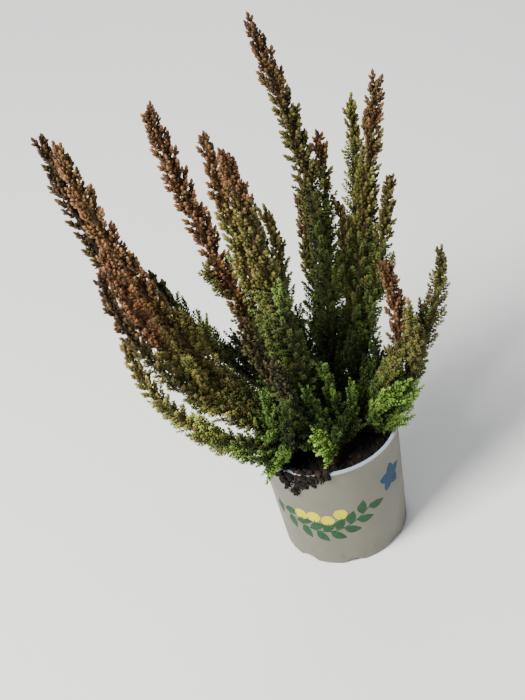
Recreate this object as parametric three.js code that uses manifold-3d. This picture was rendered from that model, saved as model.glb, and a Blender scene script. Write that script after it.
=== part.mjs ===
// Potted heather: a bud-blooming heather in a plain grower's pot.
// Millimetres, +Z up, origin at the middle of the pot's underside.
// +Y points away from someone who looks at the front of the pot, and +X to their right.

import * as THREE from 'three';
import { mergeVertices } from 'three/addons/utils/BufferGeometryUtils.js';
import Module from 'manifold-3d';

// Driving dimensions of the pot
const RIM_RADIUS = 52.5;
const FOOT_RADIUS = 45.5;
const POT_HEIGHT = 98;
const WALL = 1.3;
const LIP = { height: 3.6, reach: 1.3 };
const BASE_THICKNESS = 1.8;
const BASE_FLAT_RADIUS = 33;
const CHANNEL = { inner: 35, outer: 41, height: 2.4 };
const POT_SIDES = 40;
const DRAIN = { count: 8, radius: 3, sides: 8, turn: 22.5 };
const ARCH = { count: 8, width: 13, height: 3.2, segments: 6 };

// Driving dimensions of the peat
const GAP = 0.3;
const PEAT_TOP = 89.5;
const PEAT_LUMP = 1.3;
const PEAT_RINGS = 6;
const PEAT_SIDES = 30;
const HOLE = { radius: 3.7, sides: 8, floor: 76 };

// Driving dimensions of the shoots
const CROWN_HEIGHT = 96;
const TRUNK = { radius: 2.9, sides: 8, foot: HOLE.floor + GAP };
const RING_POINTS = 6;
const LEAF_PITCH = 6.4;
const BUD_PITCH = 5.4;
const CORE_SHARE = 0.45;
const LIFT_SHARE = 0.8;
const TIP_RADIUS = 2.2;
const TAPER_LENGTH = 38;
const WOOD_RADIUS = 2.2;
const BARE_FOOT = 8;
const FOOT_TAPER = { length: 45, share: 0.3 };
const SIDE_START = { share: 0.55, length: 20 };
const GIRTH_SPREAD = 0.14;

// Where each plantlet's crown stands on the peat
const CROWNS = {
  left: [-26, -12],
  rear_left: [-18, 16],
  middle: [-4, -3],
  rear: [7, 24],
  rear_right: [21, 18],
  right: [30, -9],
  front: [5, -27],
};

// One row for each shoot: its name, what it grows from, the point that it passes at its
// middle, its tip, its girth (radius out to the leaf tips or buds) and the share of its
// length, from the tip down, that is in bud. A shoot grows from a crown, or from an
// earlier shoot at a share of that shoot's length.
const SHOOTS = [
  ['left_low', 'left', [-99, 14, 206], [-139, 32, 362], 8.5, 0.62],
  ['left_tall', 'left', [-90, -2, 222], [-126, 4, 370], 8.5, 0.62],
  ['left_near', 'left', [-86, -24, 191], [-114, -28, 309], 8, 0.4],
  ['left_near_side', ['left_near', 0.3], [-108, -50, 246], [-117, -54, 308], 4.5, 0.5],
  ['left_sweep', 'left', [-93, -35, 158], [-116, -38, 240], 6, 0.3],
  ['left_edge', 'left', [-62, -38, 132], [-88, -44, 151], 6, 0],
  ['left_rim', 'left', [-42, -36, 110], [-63, -50, 133], 5, 0],
  ['left_hang', 'left', [-38, -40, 107], [-50, -52, 104], 4.5, 0],
  ['left_inner', 'left', [-26, 10, 110], [-27, 25, 134], 5.5, 0],
  ['left_upright', 'left', [-33, -24, 125], [-36, -27, 160], 5.5, 0],
  ['left_front', 'left', [-26, -34, 121], [-26, -46, 152], 5.5, 0],
  ['rear_left_long', 'rear_left', [-67, 37, 162], [-98, 47, 227], 8, 0.2],
  ['rear_left_side', ['rear_left_long', 0.42], [-65, 22, 166], [-68, 26, 188], 3.5, 0],
  ['rear_left_mid', 'rear_left', [-40, 44, 126], [-52, 62, 142], 7, 0],
  ['rear_left_low', 'rear_left', [-34, 36, 116], [-46, 50, 128], 5.5, 0],
  ['rear_left_inner', 'rear_left', [-8, 27, 125], [-8, 29, 160], 5.5, 0],
  ['middle_left', 'middle', [-46, 24, 232], [-69, 45, 357], 9, 0.62],
  ['middle_tall', 'middle', [-27, 3, 236], [-37, 6, 354], 8.5, 0.5],
  ['middle_near', 'middle', [-17, -16, 246], [-26, -18, 354], 8.5, 0.45],
  ['middle_side', ['middle_tall', 0.36], [-6, 22, 236], [-11, 30, 268], 5, 0.45],
  ['middle_front', 'middle', [-28, -28, 172], [-40, -40, 240], 7, 0.45],
  ['middle_low', 'middle', [-18, -34, 148], [-26, -52, 206], 6, 0.4],
  ['middle_right', 'middle', [13, 7, 121], [21, 12, 150], 5, 0],
  ['middle_right_low', 'middle', [14, -7, 110], [25, -10, 130], 5.5, 0],
  ['rear_tall', 'rear', [24, 42, 243], [5, 60, 394], 9, 0.42],
  ['rear_side', ['rear_tall', 0.34], [34, 57, 263], [36, 65, 300], 5.5, 0.42],
  ['rear_twig', ['rear_tall', 0.28], [38, 40, 218], [40, 52, 250], 4.5, 0.5],
  ['rear_green', 'rear', [49, 72, 205], [63, 97, 300], 7.5, 0.15],
  ['rear_far', 'rear', [14, 84, 168], [20, 122, 226], 8, 0.5],
  ['rear_far_left', 'rear', [-16, 76, 184], [-28, 114, 262], 8, 0.5],
  ['rear_low', 'rear', [12, 48, 116], [18, 68, 134], 6, 0],
  ['rear_back', 'rear', [-4, 44, 118], [-8, 62, 142], 6, 0],
  ['rear_right_tall', 'rear_right', [52, 46, 219], [82, 80, 320], 9, 0.45],
  ['rear_right_near', 'rear_right', [58, 36, 196], [78, 50, 263], 6.5, 0.3],
  ['rear_right_low', 'rear_right', [40, 32, 108], [54, 42, 113], 5.5, 0],
  ['rear_right_far', 'rear_right', [48, 64, 160], [66, 98, 226], 7.5, 0.45],
  ['rear_right_upright', 'rear_right', [26, 12, 128], [30, 8, 164], 5.5, 0],
  ['rear_right_back', 'rear_right', [32, 35, 118], [40, 54, 144], 6, 0],
  ['right_russet', 'right', [56, -6, 144], [60, 10, 223], 7, 0.45],
  ['right_out', 'right', [76, 8, 142], [102, 22, 213], 7, 0.15],
  ['right_out_side', ['right_out', 0.36], [72, -14, 162], [70, -14, 197], 6, 0],
  ['right_mid', 'right', [48, -12, 118], [57, -8, 135], 6, 0],
  ['right_rim', 'right', [56, -16, 114], [66, -13, 124], 6, 0],
  ['right_rim_near', 'right', [46, -26, 108], [54, -29, 114], 5.5, 0],
  ['right_upright', 'right', [38, 0, 126], [46, 7, 158], 5.5, 0],
  ['front_bright', 'front', [-1, -33, 108], [-6, -34, 124], 4.5, 0],
  ['front_left', 'front', [-2, -29, 130], [-9, -28, 155], 4.5, 0],
  ['front_mid', 'front', [9, -18, 134], [6, -14, 161], 5, 0],
  ['front_right', 'front', [18, -20, 116], [22, -15, 138], 4.5, 0],
];

// Finishes
const POT_FINISH = { color: 0x9c968a, roughness: 0.62 };
const PEAT_FINISH = { color: 0x1f1712, roughness: 1 };
const GREENS = {
  left: 0x4d5526,
  rear_left: 0x303e1c,
  middle: 0x4a5526,
  rear: 0x39451f,
  rear_right: 0x35431f,
  right: 0x8a9a45,
  front: 0x7f9a3c,
};
const BUD_BROWN = 0x6d4932;
const BUD_COLOURS = {
  left_low: 0x54442a,
  left_sweep: 0x6a5c34,
  rear_left_long: 0x4b4a28,
  rear_green: 0x56662c,
  right_russet: 0x8a5a35,
  right_out: 0x85803f,
};

const wasm = await Module();
wasm.setup();

// Solids

function toSolid(geometry) {
  const bare = geometry.index ? geometry.toNonIndexed() : geometry.clone();
  bare.deleteAttribute('normal');
  bare.deleteAttribute('uv');
  const merged = mergeVertices(bare, 1e-4);
  return new wasm.Manifold(new wasm.Mesh({
    numProp: 3,
    vertProperties: new Float32Array(merged.attributes.position.array),
    triVerts: new Uint32Array(merged.index.array),
  }));
}

function toGeometry(solid) {
  const mesh = solid.getMesh();
  const geometry = new THREE.BufferGeometry();
  geometry.setAttribute('position', new THREE.BufferAttribute(mesh.vertProperties, 3));
  geometry.setIndex(new THREE.BufferAttribute(mesh.triVerts, 1));
  return geometry;
}

function fromTriangles(points, triangles) {
  const geometry = new THREE.BufferGeometry();
  const flat = points.flatMap((point) => point.toArray());
  geometry.setAttribute('position', new THREE.Float32BufferAttribute(flat, 3));
  geometry.setIndex(triangles);
  return geometry;
}

function lathe(profile, sides) {
  const points = profile.map(([radius, height]) => new THREE.Vector2(radius, height));
  return new THREE.LatheGeometry(points, sides).rotateX(Math.PI / 2);
}

function upright(radius, bottom, top, sides, x, y) {
  const bar = new THREE.CylinderGeometry(radius, radius, top - bottom, sides);
  return bar.rotateX(Math.PI / 2).translate(x, y, (top + bottom) / 2);
}

function makeMesh(name, geometry, finish) {
  const material = new THREE.MeshStandardMaterial({ metalness: 0, ...finish });
  const mesh = new THREE.Mesh(geometry, material);
  mesh.name = name;
  return mesh;
}

// Pot: a thin tapered shell with a rolled lip, a flat base plate, a raised channel with
// drain holes round it, and a foot ring that shallow arches let the water out of

function wallRadius(height) {
  return FOOT_RADIUS + (RIM_RADIUS - LIP.reach - FOOT_RADIUS) * (height / POT_HEIGHT);
}

function potShell() {
  const lipFoot = POT_HEIGHT - LIP.height;
  const channelRoof = CHANNEL.height + BASE_THICKNESS;
  const profile = [
    [0, 0],
    [BASE_FLAT_RADIUS, 0],
    [CHANNEL.inner, CHANNEL.height],
    [CHANNEL.outer, CHANNEL.height],
    [FOOT_RADIUS - WALL, 0],
    [FOOT_RADIUS, 0],
    [wallRadius(lipFoot), lipFoot],
    [RIM_RADIUS, lipFoot + LIP.reach],
    [RIM_RADIUS, POT_HEIGHT - LIP.reach / 2],
    [RIM_RADIUS - LIP.reach / 2, POT_HEIGHT],
    [wallRadius(POT_HEIGHT) - WALL, POT_HEIGHT],
    [wallRadius(channelRoof) - WALL, channelRoof],
    [CHANNEL.inner - BASE_THICKNESS, channelRoof],
    [BASE_FLAT_RADIUS - BASE_THICKNESS, BASE_THICKNESS],
    [0, BASE_THICKNESS],
  ];
  return lathe(profile, POT_SIDES);
}

function drainHole(index) {
  const angle = THREE.MathUtils.degToRad(DRAIN.turn + (index * 360) / DRAIN.count);
  const reach = (CHANNEL.inner + CHANNEL.outer) / 2;
  const top = CHANNEL.height + 2 * BASE_THICKNESS;
  return upright(DRAIN.radius, 1, top, DRAIN.sides, reach * Math.cos(angle), reach * Math.sin(angle));
}

function footArch(index) {
  const outline = new THREE.Shape();
  outline.moveTo(-ARCH.width / 2, -1);
  outline.lineTo(ARCH.width / 2, -1);
  outline.lineTo(ARCH.width / 2, 0);
  for (let step = 1; step < ARCH.segments; step += 1) {
    const turn = (Math.PI * step) / ARCH.segments;
    outline.lineTo((ARCH.width / 2) * Math.cos(turn), ARCH.height * Math.sin(turn));
  }
  outline.lineTo(-ARCH.width / 2, 0);
  outline.closePath();
  const depth = FOOT_RADIUS + 3 - CHANNEL.outer;
  const cutter = new THREE.ExtrudeGeometry(outline, { depth, bevelEnabled: false });
  cutter.rotateX(Math.PI / 2).translate(0, FOOT_RADIUS + 3, 0);
  return cutter.rotateZ((2 * Math.PI * index) / ARCH.count);
}

function makePot() {
  let solid = toSolid(potShell());
  for (let index = 0; index < DRAIN.count; index += 1) {
    solid = solid.subtract(toSolid(drainHole(index)));
  }
  for (let index = 0; index < ARCH.count; index += 1) {
    solid = solid.subtract(toSolid(footArch(index)));
  }
  return makeMesh('pot', toGeometry(solid), POT_FINISH);
}

// Peat: it fills the pot to just below the rim, with a lumpy top and a plain round hole
// for each crown's woody foot

function peatHeight(x, y) {
  const broad = Math.sin(x * 0.21 + 0.8) * Math.cos(y * 0.17 - 0.4);
  const fine = Math.sin(x * 0.53 - y * 0.47) * Math.sin(y * 0.61 + x * 0.29 + 1.1);
  return PEAT_TOP + PEAT_LUMP * (0.5 * broad + 0.6 * fine);
}

function peatBody() {
  const points = [];
  const triangles = [];
  const floor = CHANNEL.height + BASE_THICKNESS + GAP;
  const topRadius = wallRadius(PEAT_TOP) - WALL - GAP * 1.6;
  const floorRadius = wallRadius(floor) - WALL - GAP * 1.6;
  points.push(new THREE.Vector3(0, 0, peatHeight(0, 0)));
  for (let ring = 1; ring <= PEAT_RINGS; ring += 1) {
    const radius = (topRadius * ring) / PEAT_RINGS;
    for (let side = 0; side < PEAT_SIDES; side += 1) {
      const angle = (2 * Math.PI * (side + (ring % 2) / 2)) / PEAT_SIDES;
      const x = radius * Math.cos(angle);
      const y = radius * Math.sin(angle);
      const height = ring === PEAT_RINGS ? PEAT_TOP : peatHeight(x, y);
      points.push(new THREE.Vector3(x, y, height));
    }
  }
  for (let side = 0; side < PEAT_SIDES; side += 1) {
    const angle = (2 * Math.PI * (side + (PEAT_RINGS % 2) / 2)) / PEAT_SIDES;
    points.push(new THREE.Vector3(floorRadius * Math.cos(angle), floorRadius * Math.sin(angle), floor));
  }
  points.push(new THREE.Vector3(0, 0, floor));
  const at = (ring, side) => 1 + (ring - 1) * PEAT_SIDES + (side + PEAT_SIDES) % PEAT_SIDES;
  const last = points.length - 1;
  for (let side = 0; side < PEAT_SIDES; side += 1) {
    triangles.push(0, at(1, side), at(1, side + 1));
    for (let ring = 1; ring < PEAT_RINGS; ring += 1) {
      const shift = ring % 2;
      triangles.push(at(ring, side), at(ring + 1, side + shift), at(ring, side + 1));
      triangles.push(at(ring, side + 1), at(ring + 1, side + shift), at(ring + 1, side + shift + 1));
    }
    triangles.push(at(PEAT_RINGS, side), at(PEAT_RINGS + 1, side), at(PEAT_RINGS, side + 1));
    triangles.push(at(PEAT_RINGS, side + 1), at(PEAT_RINGS + 1, side), at(PEAT_RINGS + 1, side + 1));
    triangles.push(at(PEAT_RINGS + 1, side), last, at(PEAT_RINGS + 1, side + 1));
  }
  return fromTriangles(points, triangles);
}

function makePeat() {
  let solid = toSolid(peatBody());
  for (const [x, y] of Object.values(CROWNS)) {
    const hole = upright(HOLE.radius, HOLE.floor, PEAT_TOP + 10, HOLE.sides, x, y);
    solid = solid.subtract(toSolid(hole));
  }
  return makeMesh('peat', toGeometry(solid), PEAT_FINISH);
}

// Shoots: each axis is one arched curve that passes its middle point

function makeRandom(seed) {
  let state = seed;
  return () => {
    state = (state * 1664525 + 1013904223) % 4294967296;
    return state / 4294967296;
  };
}

class Shoot {
  constructor([name, origin, middle, tip, girth, budShare], grown) {
    this.name = name;
    this.girth = girth;
    this.fromCrown = typeof origin === 'string';
    this.plantlet = this.fromCrown ? origin : grown[origin[0]].plantlet;
    const start = this.fromCrown
      ? new THREE.Vector3(...CROWNS[origin], CROWN_HEIGHT)
      : grown[origin[0]].curve.getPoint(origin[1]);
    const through = new THREE.Vector3(...middle);
    const end = new THREE.Vector3(...tip);
    const lower = through.distanceTo(start);
    const share = lower / (lower + end.distanceTo(through));
    const control = through.clone()
      .addScaledVector(start, -((1 - share) ** 2))
      .addScaledVector(end, -(share ** 2))
      .divideScalar(2 * share * (1 - share));
    this.curve = new THREE.QuadraticBezierCurve3(start, control, end);
    this.length = this.curve.getLength();
    this.budStart = this.length * (1 - budShare);
    const heading = Math.atan2(end.y - start.y, end.x - start.x);
    this.sideways = new THREE.Vector3(-Math.sin(heading), Math.cos(heading), 0);
  }

  // Radius out to the leaf tips or buds at a distance along the shoot
  radiusAt(distance) {
    const left = this.length - distance;
    const body = TIP_RADIUS + (this.girth - TIP_RADIUS) * (1 - Math.exp(-left / TAPER_LENGTH));
    if (this.fromCrown) {
      const taper = Math.min(FOOT_TAPER.length, FOOT_TAPER.share * this.length);
      const share = THREE.MathUtils.clamp((distance - BARE_FOOT) / taper, 0, 1);
      return Math.min(body, WOOD_RADIUS + (body - WOOD_RADIUS) * share);
    }
    return body * Math.min(1, SIDE_START.share + distance / SIDE_START.length);
  }

  // Point at a distance along the shoot, a turn round it and a radius from its axis
  pointAt(distance, turn, radius, lift) {
    const share = distance / this.length;
    const along = this.curve.getTangentAt(share);
    const first = this.sideways.clone().addScaledVector(along, -this.sideways.dot(along)).normalize();
    const second = along.clone().cross(first);
    return this.curve.getPointAt(share)
      .addScaledVector(first, radius * Math.cos(turn))
      .addScaledVector(second, radius * Math.sin(turn))
      .addScaledVector(along, lift);
  }
}

// Spray: rings of points round a stretch of a shoot, with every second point out at a leaf
// tip or bud and lifted towards the shoot's tip, and the rest in on the slim core. Each
// ring is turned by one point, so that the leaf tips stand in staggered rows.
function sprayGeometry(shoot, from, to, pitch, random) {
  const points = [];
  const triangles = [];
  const pointed = to >= shoot.length;
  const end = pointed ? shoot.length - pitch * 0.6 : to;
  const rings = Math.max(2, Math.round((end - from) / pitch) + 1);
  const step = (end - from) / (rings - 1);
  for (let ring = 0; ring < rings; ring += 1) {
    const distance = from + ring * step;
    const outer = shoot.radiusAt(distance);
    const bare = shoot.fromCrown && distance < BARE_FOOT;
    const edge = ring === 0 || ring === rings - 1;
    for (let side = 0; side < RING_POINTS; side += 1) {
      const turn = (2 * Math.PI * side) / RING_POINTS;
      const isPeak = (side + ring) % 2 === 0 && !bare;
      const spread = edge ? 1 : 1 + GIRTH_SPREAD * (random() * 2 - 1);
      const core = bare ? WOOD_RADIUS : Math.max(outer * CORE_SHARE, WOOD_RADIUS * 0.6);
      const radius = isPeak ? outer * spread : core;
      const lift = isPeak && !edge ? step * LIFT_SHARE : 0;
      points.push(shoot.pointAt(distance, turn, radius, lift));
    }
  }
  const foot = points.push(shoot.pointAt(from, 0, 0, 0)) - 1;
  const head = points.push(shoot.pointAt(pointed ? shoot.length : end, 0, 0, 0)) - 1;
  const at = (ring, side) => ring * RING_POINTS + (side % RING_POINTS);
  for (let side = 0; side < RING_POINTS; side += 1) {
    triangles.push(foot, at(0, side + 1), at(0, side));
    triangles.push(head, at(rings - 1, side), at(rings - 1, side + 1));
    for (let ring = 0; ring < rings - 1; ring += 1) {
      const [low, lowNext] = [at(ring, side), at(ring, side + 1)];
      const [high, highNext] = [at(ring + 1, side), at(ring + 1, side + 1)];
      if ((side + ring) % 2 === 0) {
        triangles.push(low, lowNext, high, lowNext, highNext, high);
      } else {
        triangles.push(low, lowNext, highNext, low, highNext, high);
      }
    }
  }
  return fromTriangles(points, triangles);
}

function trunkGeometry([x, y]) {
  return upright(TRUNK.radius, TRUNK.foot, CROWN_HEIGHT + 1, TRUNK.sides, x, y);
}

// The outer skin alone, so that a hollow sealed between crossing shoots is filled
function filled(solid) {
  const skins = solid.decompose();
  return skins.reduce((largest, skin) => (skin.volume() > largest.volume() ? skin : largest));
}

// Plantlets: the woody foot and all leafy stretches that grow from one crown are one body
function makePlantlet(name, shoots, random) {
  let solid = toSolid(trunkGeometry(CROWNS[name]));
  for (const shoot of shoots) {
    const end = shoot.budStart >= shoot.length ? shoot.length : shoot.budStart - GAP / 2;
    solid = solid.add(toSolid(sprayGeometry(shoot, 0, end, LEAF_PITCH, random)));
  }
  const finish = { color: GREENS[name], roughness: 0.8 };
  return makeMesh(`leaves_${name}`, toGeometry(filled(solid)), finish);
}

function makeBuds(shoot, random) {
  const from = shoot.budStart + GAP / 2;
  const solid = toSolid(sprayGeometry(shoot, from, shoot.length, BUD_PITCH, random));
  const finish = { color: BUD_COLOURS[shoot.name] ?? BUD_BROWN, roughness: 0.75 };
  return makeMesh(`buds_${shoot.name}`, toGeometry(solid), finish);
}

// Assembly
function makeHeather() {
  const random = makeRandom(31);
  const grown = {};
  for (const row of SHOOTS) {
    grown[row[0]] = new Shoot(row, grown);
  }
  const shoots = Object.values(grown);
  const heather = new THREE.Group();
  heather.add(makePot(), makePeat());
  for (const name of Object.keys(CROWNS)) {
    heather.add(makePlantlet(name, shoots.filter((shoot) => shoot.plantlet === name), random));
  }
  for (const shoot of shoots.filter((one) => one.budStart < one.length)) {
    heather.add(makeBuds(shoot, random));
  }
  return heather;
}

export default makeHeather();
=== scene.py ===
# Potted heather: the looks of a bud-blooming heather in a plain grower's pot.
# Sizes are in millimetres unless a name says otherwise, and MM turns them into metres.

import math

import bmesh
import bpy
import numpy as np
from mathutils import Matrix, Vector


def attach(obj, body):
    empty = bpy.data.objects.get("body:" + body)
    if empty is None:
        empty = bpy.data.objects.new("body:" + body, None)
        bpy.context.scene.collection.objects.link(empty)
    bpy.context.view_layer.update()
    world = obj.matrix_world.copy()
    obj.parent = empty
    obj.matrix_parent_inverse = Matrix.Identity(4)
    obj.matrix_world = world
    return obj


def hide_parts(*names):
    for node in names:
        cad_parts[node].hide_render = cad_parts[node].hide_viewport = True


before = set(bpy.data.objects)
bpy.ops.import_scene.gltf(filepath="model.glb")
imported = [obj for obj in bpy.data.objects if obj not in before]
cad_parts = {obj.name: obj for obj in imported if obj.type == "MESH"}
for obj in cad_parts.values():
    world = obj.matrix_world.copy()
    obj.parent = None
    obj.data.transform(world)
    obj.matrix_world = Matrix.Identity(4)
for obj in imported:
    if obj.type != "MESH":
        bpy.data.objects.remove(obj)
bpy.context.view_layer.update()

MM = 0.001
SEED = 47
ANY_TURN = (0, 6)
WHOLE_TURN = (0, 6.28)

# Driving dimensions of the pot
RIM_RADIUS = 52.5
FOOT_RADIUS = 45.5
POT_HEIGHT = 98.0
WALL = 1.3
LIP_HEIGHT = 3.6
LIP_REACH = 1.3
BASE_THICKNESS = 1.8
BASE_FLAT_RADIUS = 33.0
CHANNEL_INNER = 35.0
CHANNEL_OUTER = 41.0
CHANNEL_HEIGHT = 2.4
POT_SIDES = 144
EDGE_ROUND = 0.45
EDGE_STEPS = 2
SHARP_ANGLE = math.radians(32)
DRAIN_COUNT = 8
DRAIN_RADIUS = 3.0
DRAIN_DEPTH = 6.0
DRAIN_TURN = math.radians(22.5)
DRAIN_SIDES = 28
ARCH_COUNT = 8
ARCH_WIDTH = 13.0
ARCH_HEIGHT = 3.2
ARCH_FADE = 9.0

# Driving dimensions of the peat
GAP = 0.3
PEAT_PLAY = GAP * 1.6
PEAT_TOP = 89.5
PEAT_LUMP = 1.3
PEAT_FLOOR = CHANNEL_HEIGHT + BASE_THICKNESS + GAP
HOLE_FLOOR = 76.0

# Driving dimensions of the shoots
CROWN_HEIGHT = 96.0
TRUNK_RADIUS = 2.9
TRUNK_RINGS = 10
TIP_RADIUS = 2.2
TAPER_LENGTH = 38.0
WOOD_RADIUS = 2.2
STEM_START = 0.82 * WOOD_RADIUS
SIDE_STEM_START = 1.0
STEM_END = 0.42
BARE_FOOT = 8.0
FOOT_TAPER_LENGTH = 45.0
FOOT_TAPER_SHARE = 0.3
SIDE_START_SHARE = 0.55
SIDE_START_LENGTH = 20.0
GOLDEN_TURN = math.radians(137.5)

CROWNS = {
    "left": (-26, -12),
    "rear_left": (-18, 16),
    "middle": (-4, -3),
    "rear": (7, 24),
    "rear_right": (21, 18),
    "right": (30, -9),
    "front": (5, -27),
}
BRIGHT_PLANTLETS = ("right", "front")

# The tone of the leaves near each crown, in the scale of the leaf tones below, and how far
# along a shoot that tone has given way to the shoot's own
FOOT_TONES = {
    "left": (0.5, 70),
    "rear_left": (0.5, 90),
    "middle": (0.55, 140),
    "rear": (0.52, 150),
    "rear_right": (0.52, 130),
    "right": (0.72, 62),
    "front": (0.62, 60),
}
FOOT_TONE_STEP = 0.15

# The shoots of each plantlet: the name, the point that a shoot passes at its middle, its tip,
# its girth, the tone of its upper leaves from olive-brown (0) through green (0.5) to pale
# yellow-green (1), and how light it is, set partly for its own colour and partly as painted light
# and shade for where it stands. A shoot that ends in a spike of buds has three values more: the
# share of its length that is in bud, the tone of its upper buds from olive (0) through russet to
# pink (1), and the share of its spike, from the tip down, that has coloured up.
SHOOTS = {
    "left": [
        ("low", (-99, 14, 206), (-139, 32, 362), 8.5, 0.24, 0.8, (0.62, 0.42, 1.1)),
        ("tall", (-90, -2, 222), (-126, 4, 370), 8.5, 0.2, 1.9, (0.62, 0.54, 1.0)),
        ("near", (-86, -24, 191), (-114, -28, 309), 8, 0.2, 2.2, (0.4, 0.62, 1.2)),
        ("near_side", (-108, -50, 246), (-117, -54, 308), 4.5, 0.24, 1.0, (0.5, 0.44, 0.9)),
        ("sweep", (-93, -35, 158), (-116, -38, 240), 6, 0.3, 2.5, (0.3, 0.2, 0.9)),
        ("edge", (-62, -38, 132), (-88, -44, 151), 6, 0.36, 1.2),
        ("rim", (-42, -36, 110), (-63, -50, 133), 5, 0.5, 1.7),
        ("hang", (-37, -38, 108), (-46, -47, 107), 4.5, 0.72, 1.9),
        ("inner", (-26, 10, 110), (-27, 25, 134), 5.5, 0.5, 0.5),
        ("upright", (-33, -24, 125), (-36, -27, 160), 5.5, 0.56, 1.2),
        ("front", (-26, -34, 121), (-26, -46, 152), 5.5, 0.6, 0.28),
    ],
    "rear_left": [
        ("long", (-67, 37, 162), (-98, 47, 227), 8, 0.38, 1.4, (0.2, 0.12, 0.6)),
        ("side", (-65, 22, 166), (-68, 26, 188), 3.5, 0.34, 3.0),
        ("mid", (-40, 44, 126), (-52, 62, 142), 7, 0.5, 0.3),
        ("low", (-34, 36, 116), (-46, 50, 128), 5.5, 0.48, 0.3),
        ("inner", (-8, 27, 125), (-8, 29, 160), 5.5, 0.56, 2.6),
    ],
    "middle": [
        ("left", (-46, 24, 232), (-69, 45, 357), 9, 0.24, 1.5, (0.62, 0.58, 1.1)),
        ("tall", (-27, 3, 236), (-37, 6, 354), 8.5, 0.3, 1.9, (0.5, 0.56, 0.6)),
        ("near", (-17, -16, 246), (-26, -18, 354), 8.5, 0.33, 1.6, (0.45, 0.6, 0.55)),
        ("side", (-6, 22, 236), (-11, 30, 268), 5, 0.36, 1.8, (0.45, 0.25, 0.5)),
        ("front", (-28, -28, 172), (-40, -40, 240), 7, 0.34, 0.85, (0.45, 0.7, 0.3)),
        ("low", (-18, -34, 148), (-26, -52, 206), 6, 0.42, 0.7, (0.4, 0.2, 0.3)),
        ("right", (13, 7, 121), (21, 12, 150), 5, 0.5, 0.9),
        ("right_low", (14, -7, 110), (25, -10, 130), 5.5, 0.58, 0.9),
    ],
    "rear": [
        ("tall", (24, 42, 243), (5, 60, 394), 9, 0.38, 1.2, (0.42, 0.52, 0.6)),
        ("side", (34, 57, 263), (36, 65, 300), 5.5, 0.36, 2.1, (0.42, 0.45, 0.7)),
        ("twig", (38, 40, 218), (40, 52, 250), 4.5, 0.38, 1.4, (0.5, 0.25, 0.7)),
        ("green", (49, 72, 205), (63, 97, 300), 7.5, 0.34, 2.9, (0.15, 0.0, 0.5)),
        ("far", (14, 84, 168), (20, 122, 226), 8, 0.42, 1.5, (0.5, 0.5, 0.7)),
        ("far_left", (-16, 76, 184), (-28, 114, 262), 8, 0.42, 1.5, (0.5, 0.56, 0.8)),
        ("low", (12, 48, 116), (18, 68, 134), 6, 0.5, 0.8),
        ("back", (-4, 44, 118), (-8, 62, 142), 6, 0.5, 0.8),
    ],
    "rear_right": [
        ("tall", (52, 46, 219), (82, 80, 320), 9, 0.33, 1.6, (0.45, 0.46, 0.6)),
        ("near", (58, 36, 196), (78, 50, 263), 6.5, 0.38, 1.7, (0.3, 0.25, 0.6)),
        ("low", (40, 32, 108), (54, 42, 113), 5.5, 0.48, 0.4),
        ("far", (48, 64, 160), (66, 98, 226), 7.5, 0.42, 1.2, (0.45, 0.5, 0.7)),
        ("upright", (26, 12, 128), (30, 8, 164), 5.5, 0.5, 0.4),
        ("back", (32, 35, 118), (40, 54, 144), 6, 0.5, 0.6),
    ],
    "right": [
        ("russet", (56, -6, 144), (60, 10, 223), 7, 0.22, 1.6, (0.45, 0.52, 1.3)),
        ("out", (76, 8, 142), (102, 22, 213), 7, 0.28, 1.5, (0.15, 0.05, 0.5)),
        ("out_side", (72, -14, 162), (70, -14, 197), 6, 0.26, 1.4),
        ("mid", (48, -12, 118), (57, -8, 135), 6, 0.44, 1.2),
        ("rim", (56, -16, 114), (66, -13, 124), 6, 0.74, 1.4),
        ("rim_near", (46, -26, 108), (54, -29, 114), 5.5, 0.8, 1.1),
        ("upright", (38, 0, 126), (46, 7, 158), 5.5, 0.56, 0.5),
    ],
    "front": [
        ("bright", (-1, -33, 108), (-6, -34, 124), 4.5, 0.84, 2.4),
        ("left", (-2, -29, 130), (-9, -28, 155), 4.5, 0.58, 1.8),
        ("mid", (9, -18, 134), (6, -14, 161), 5, 0.6, 1.5),
        ("right", (18, -20, 116), (22, -15, 138), 4.5, 0.58, 1.4),
    ],
}

# The shoots that grow from an earlier one, at a share of its curve, and not from a crown
BRANCHES = {
    "left_near_side": ("left_near", 0.3),
    "rear_left_side": ("rear_left_long", 0.42),
    "middle_side": ("middle_tall", 0.36),
    "rear_side": ("rear_tall", 0.34),
    "rear_twig": ("rear_tall", 0.28),
    "right_out_side": ("right_out", 0.36),
}
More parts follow.
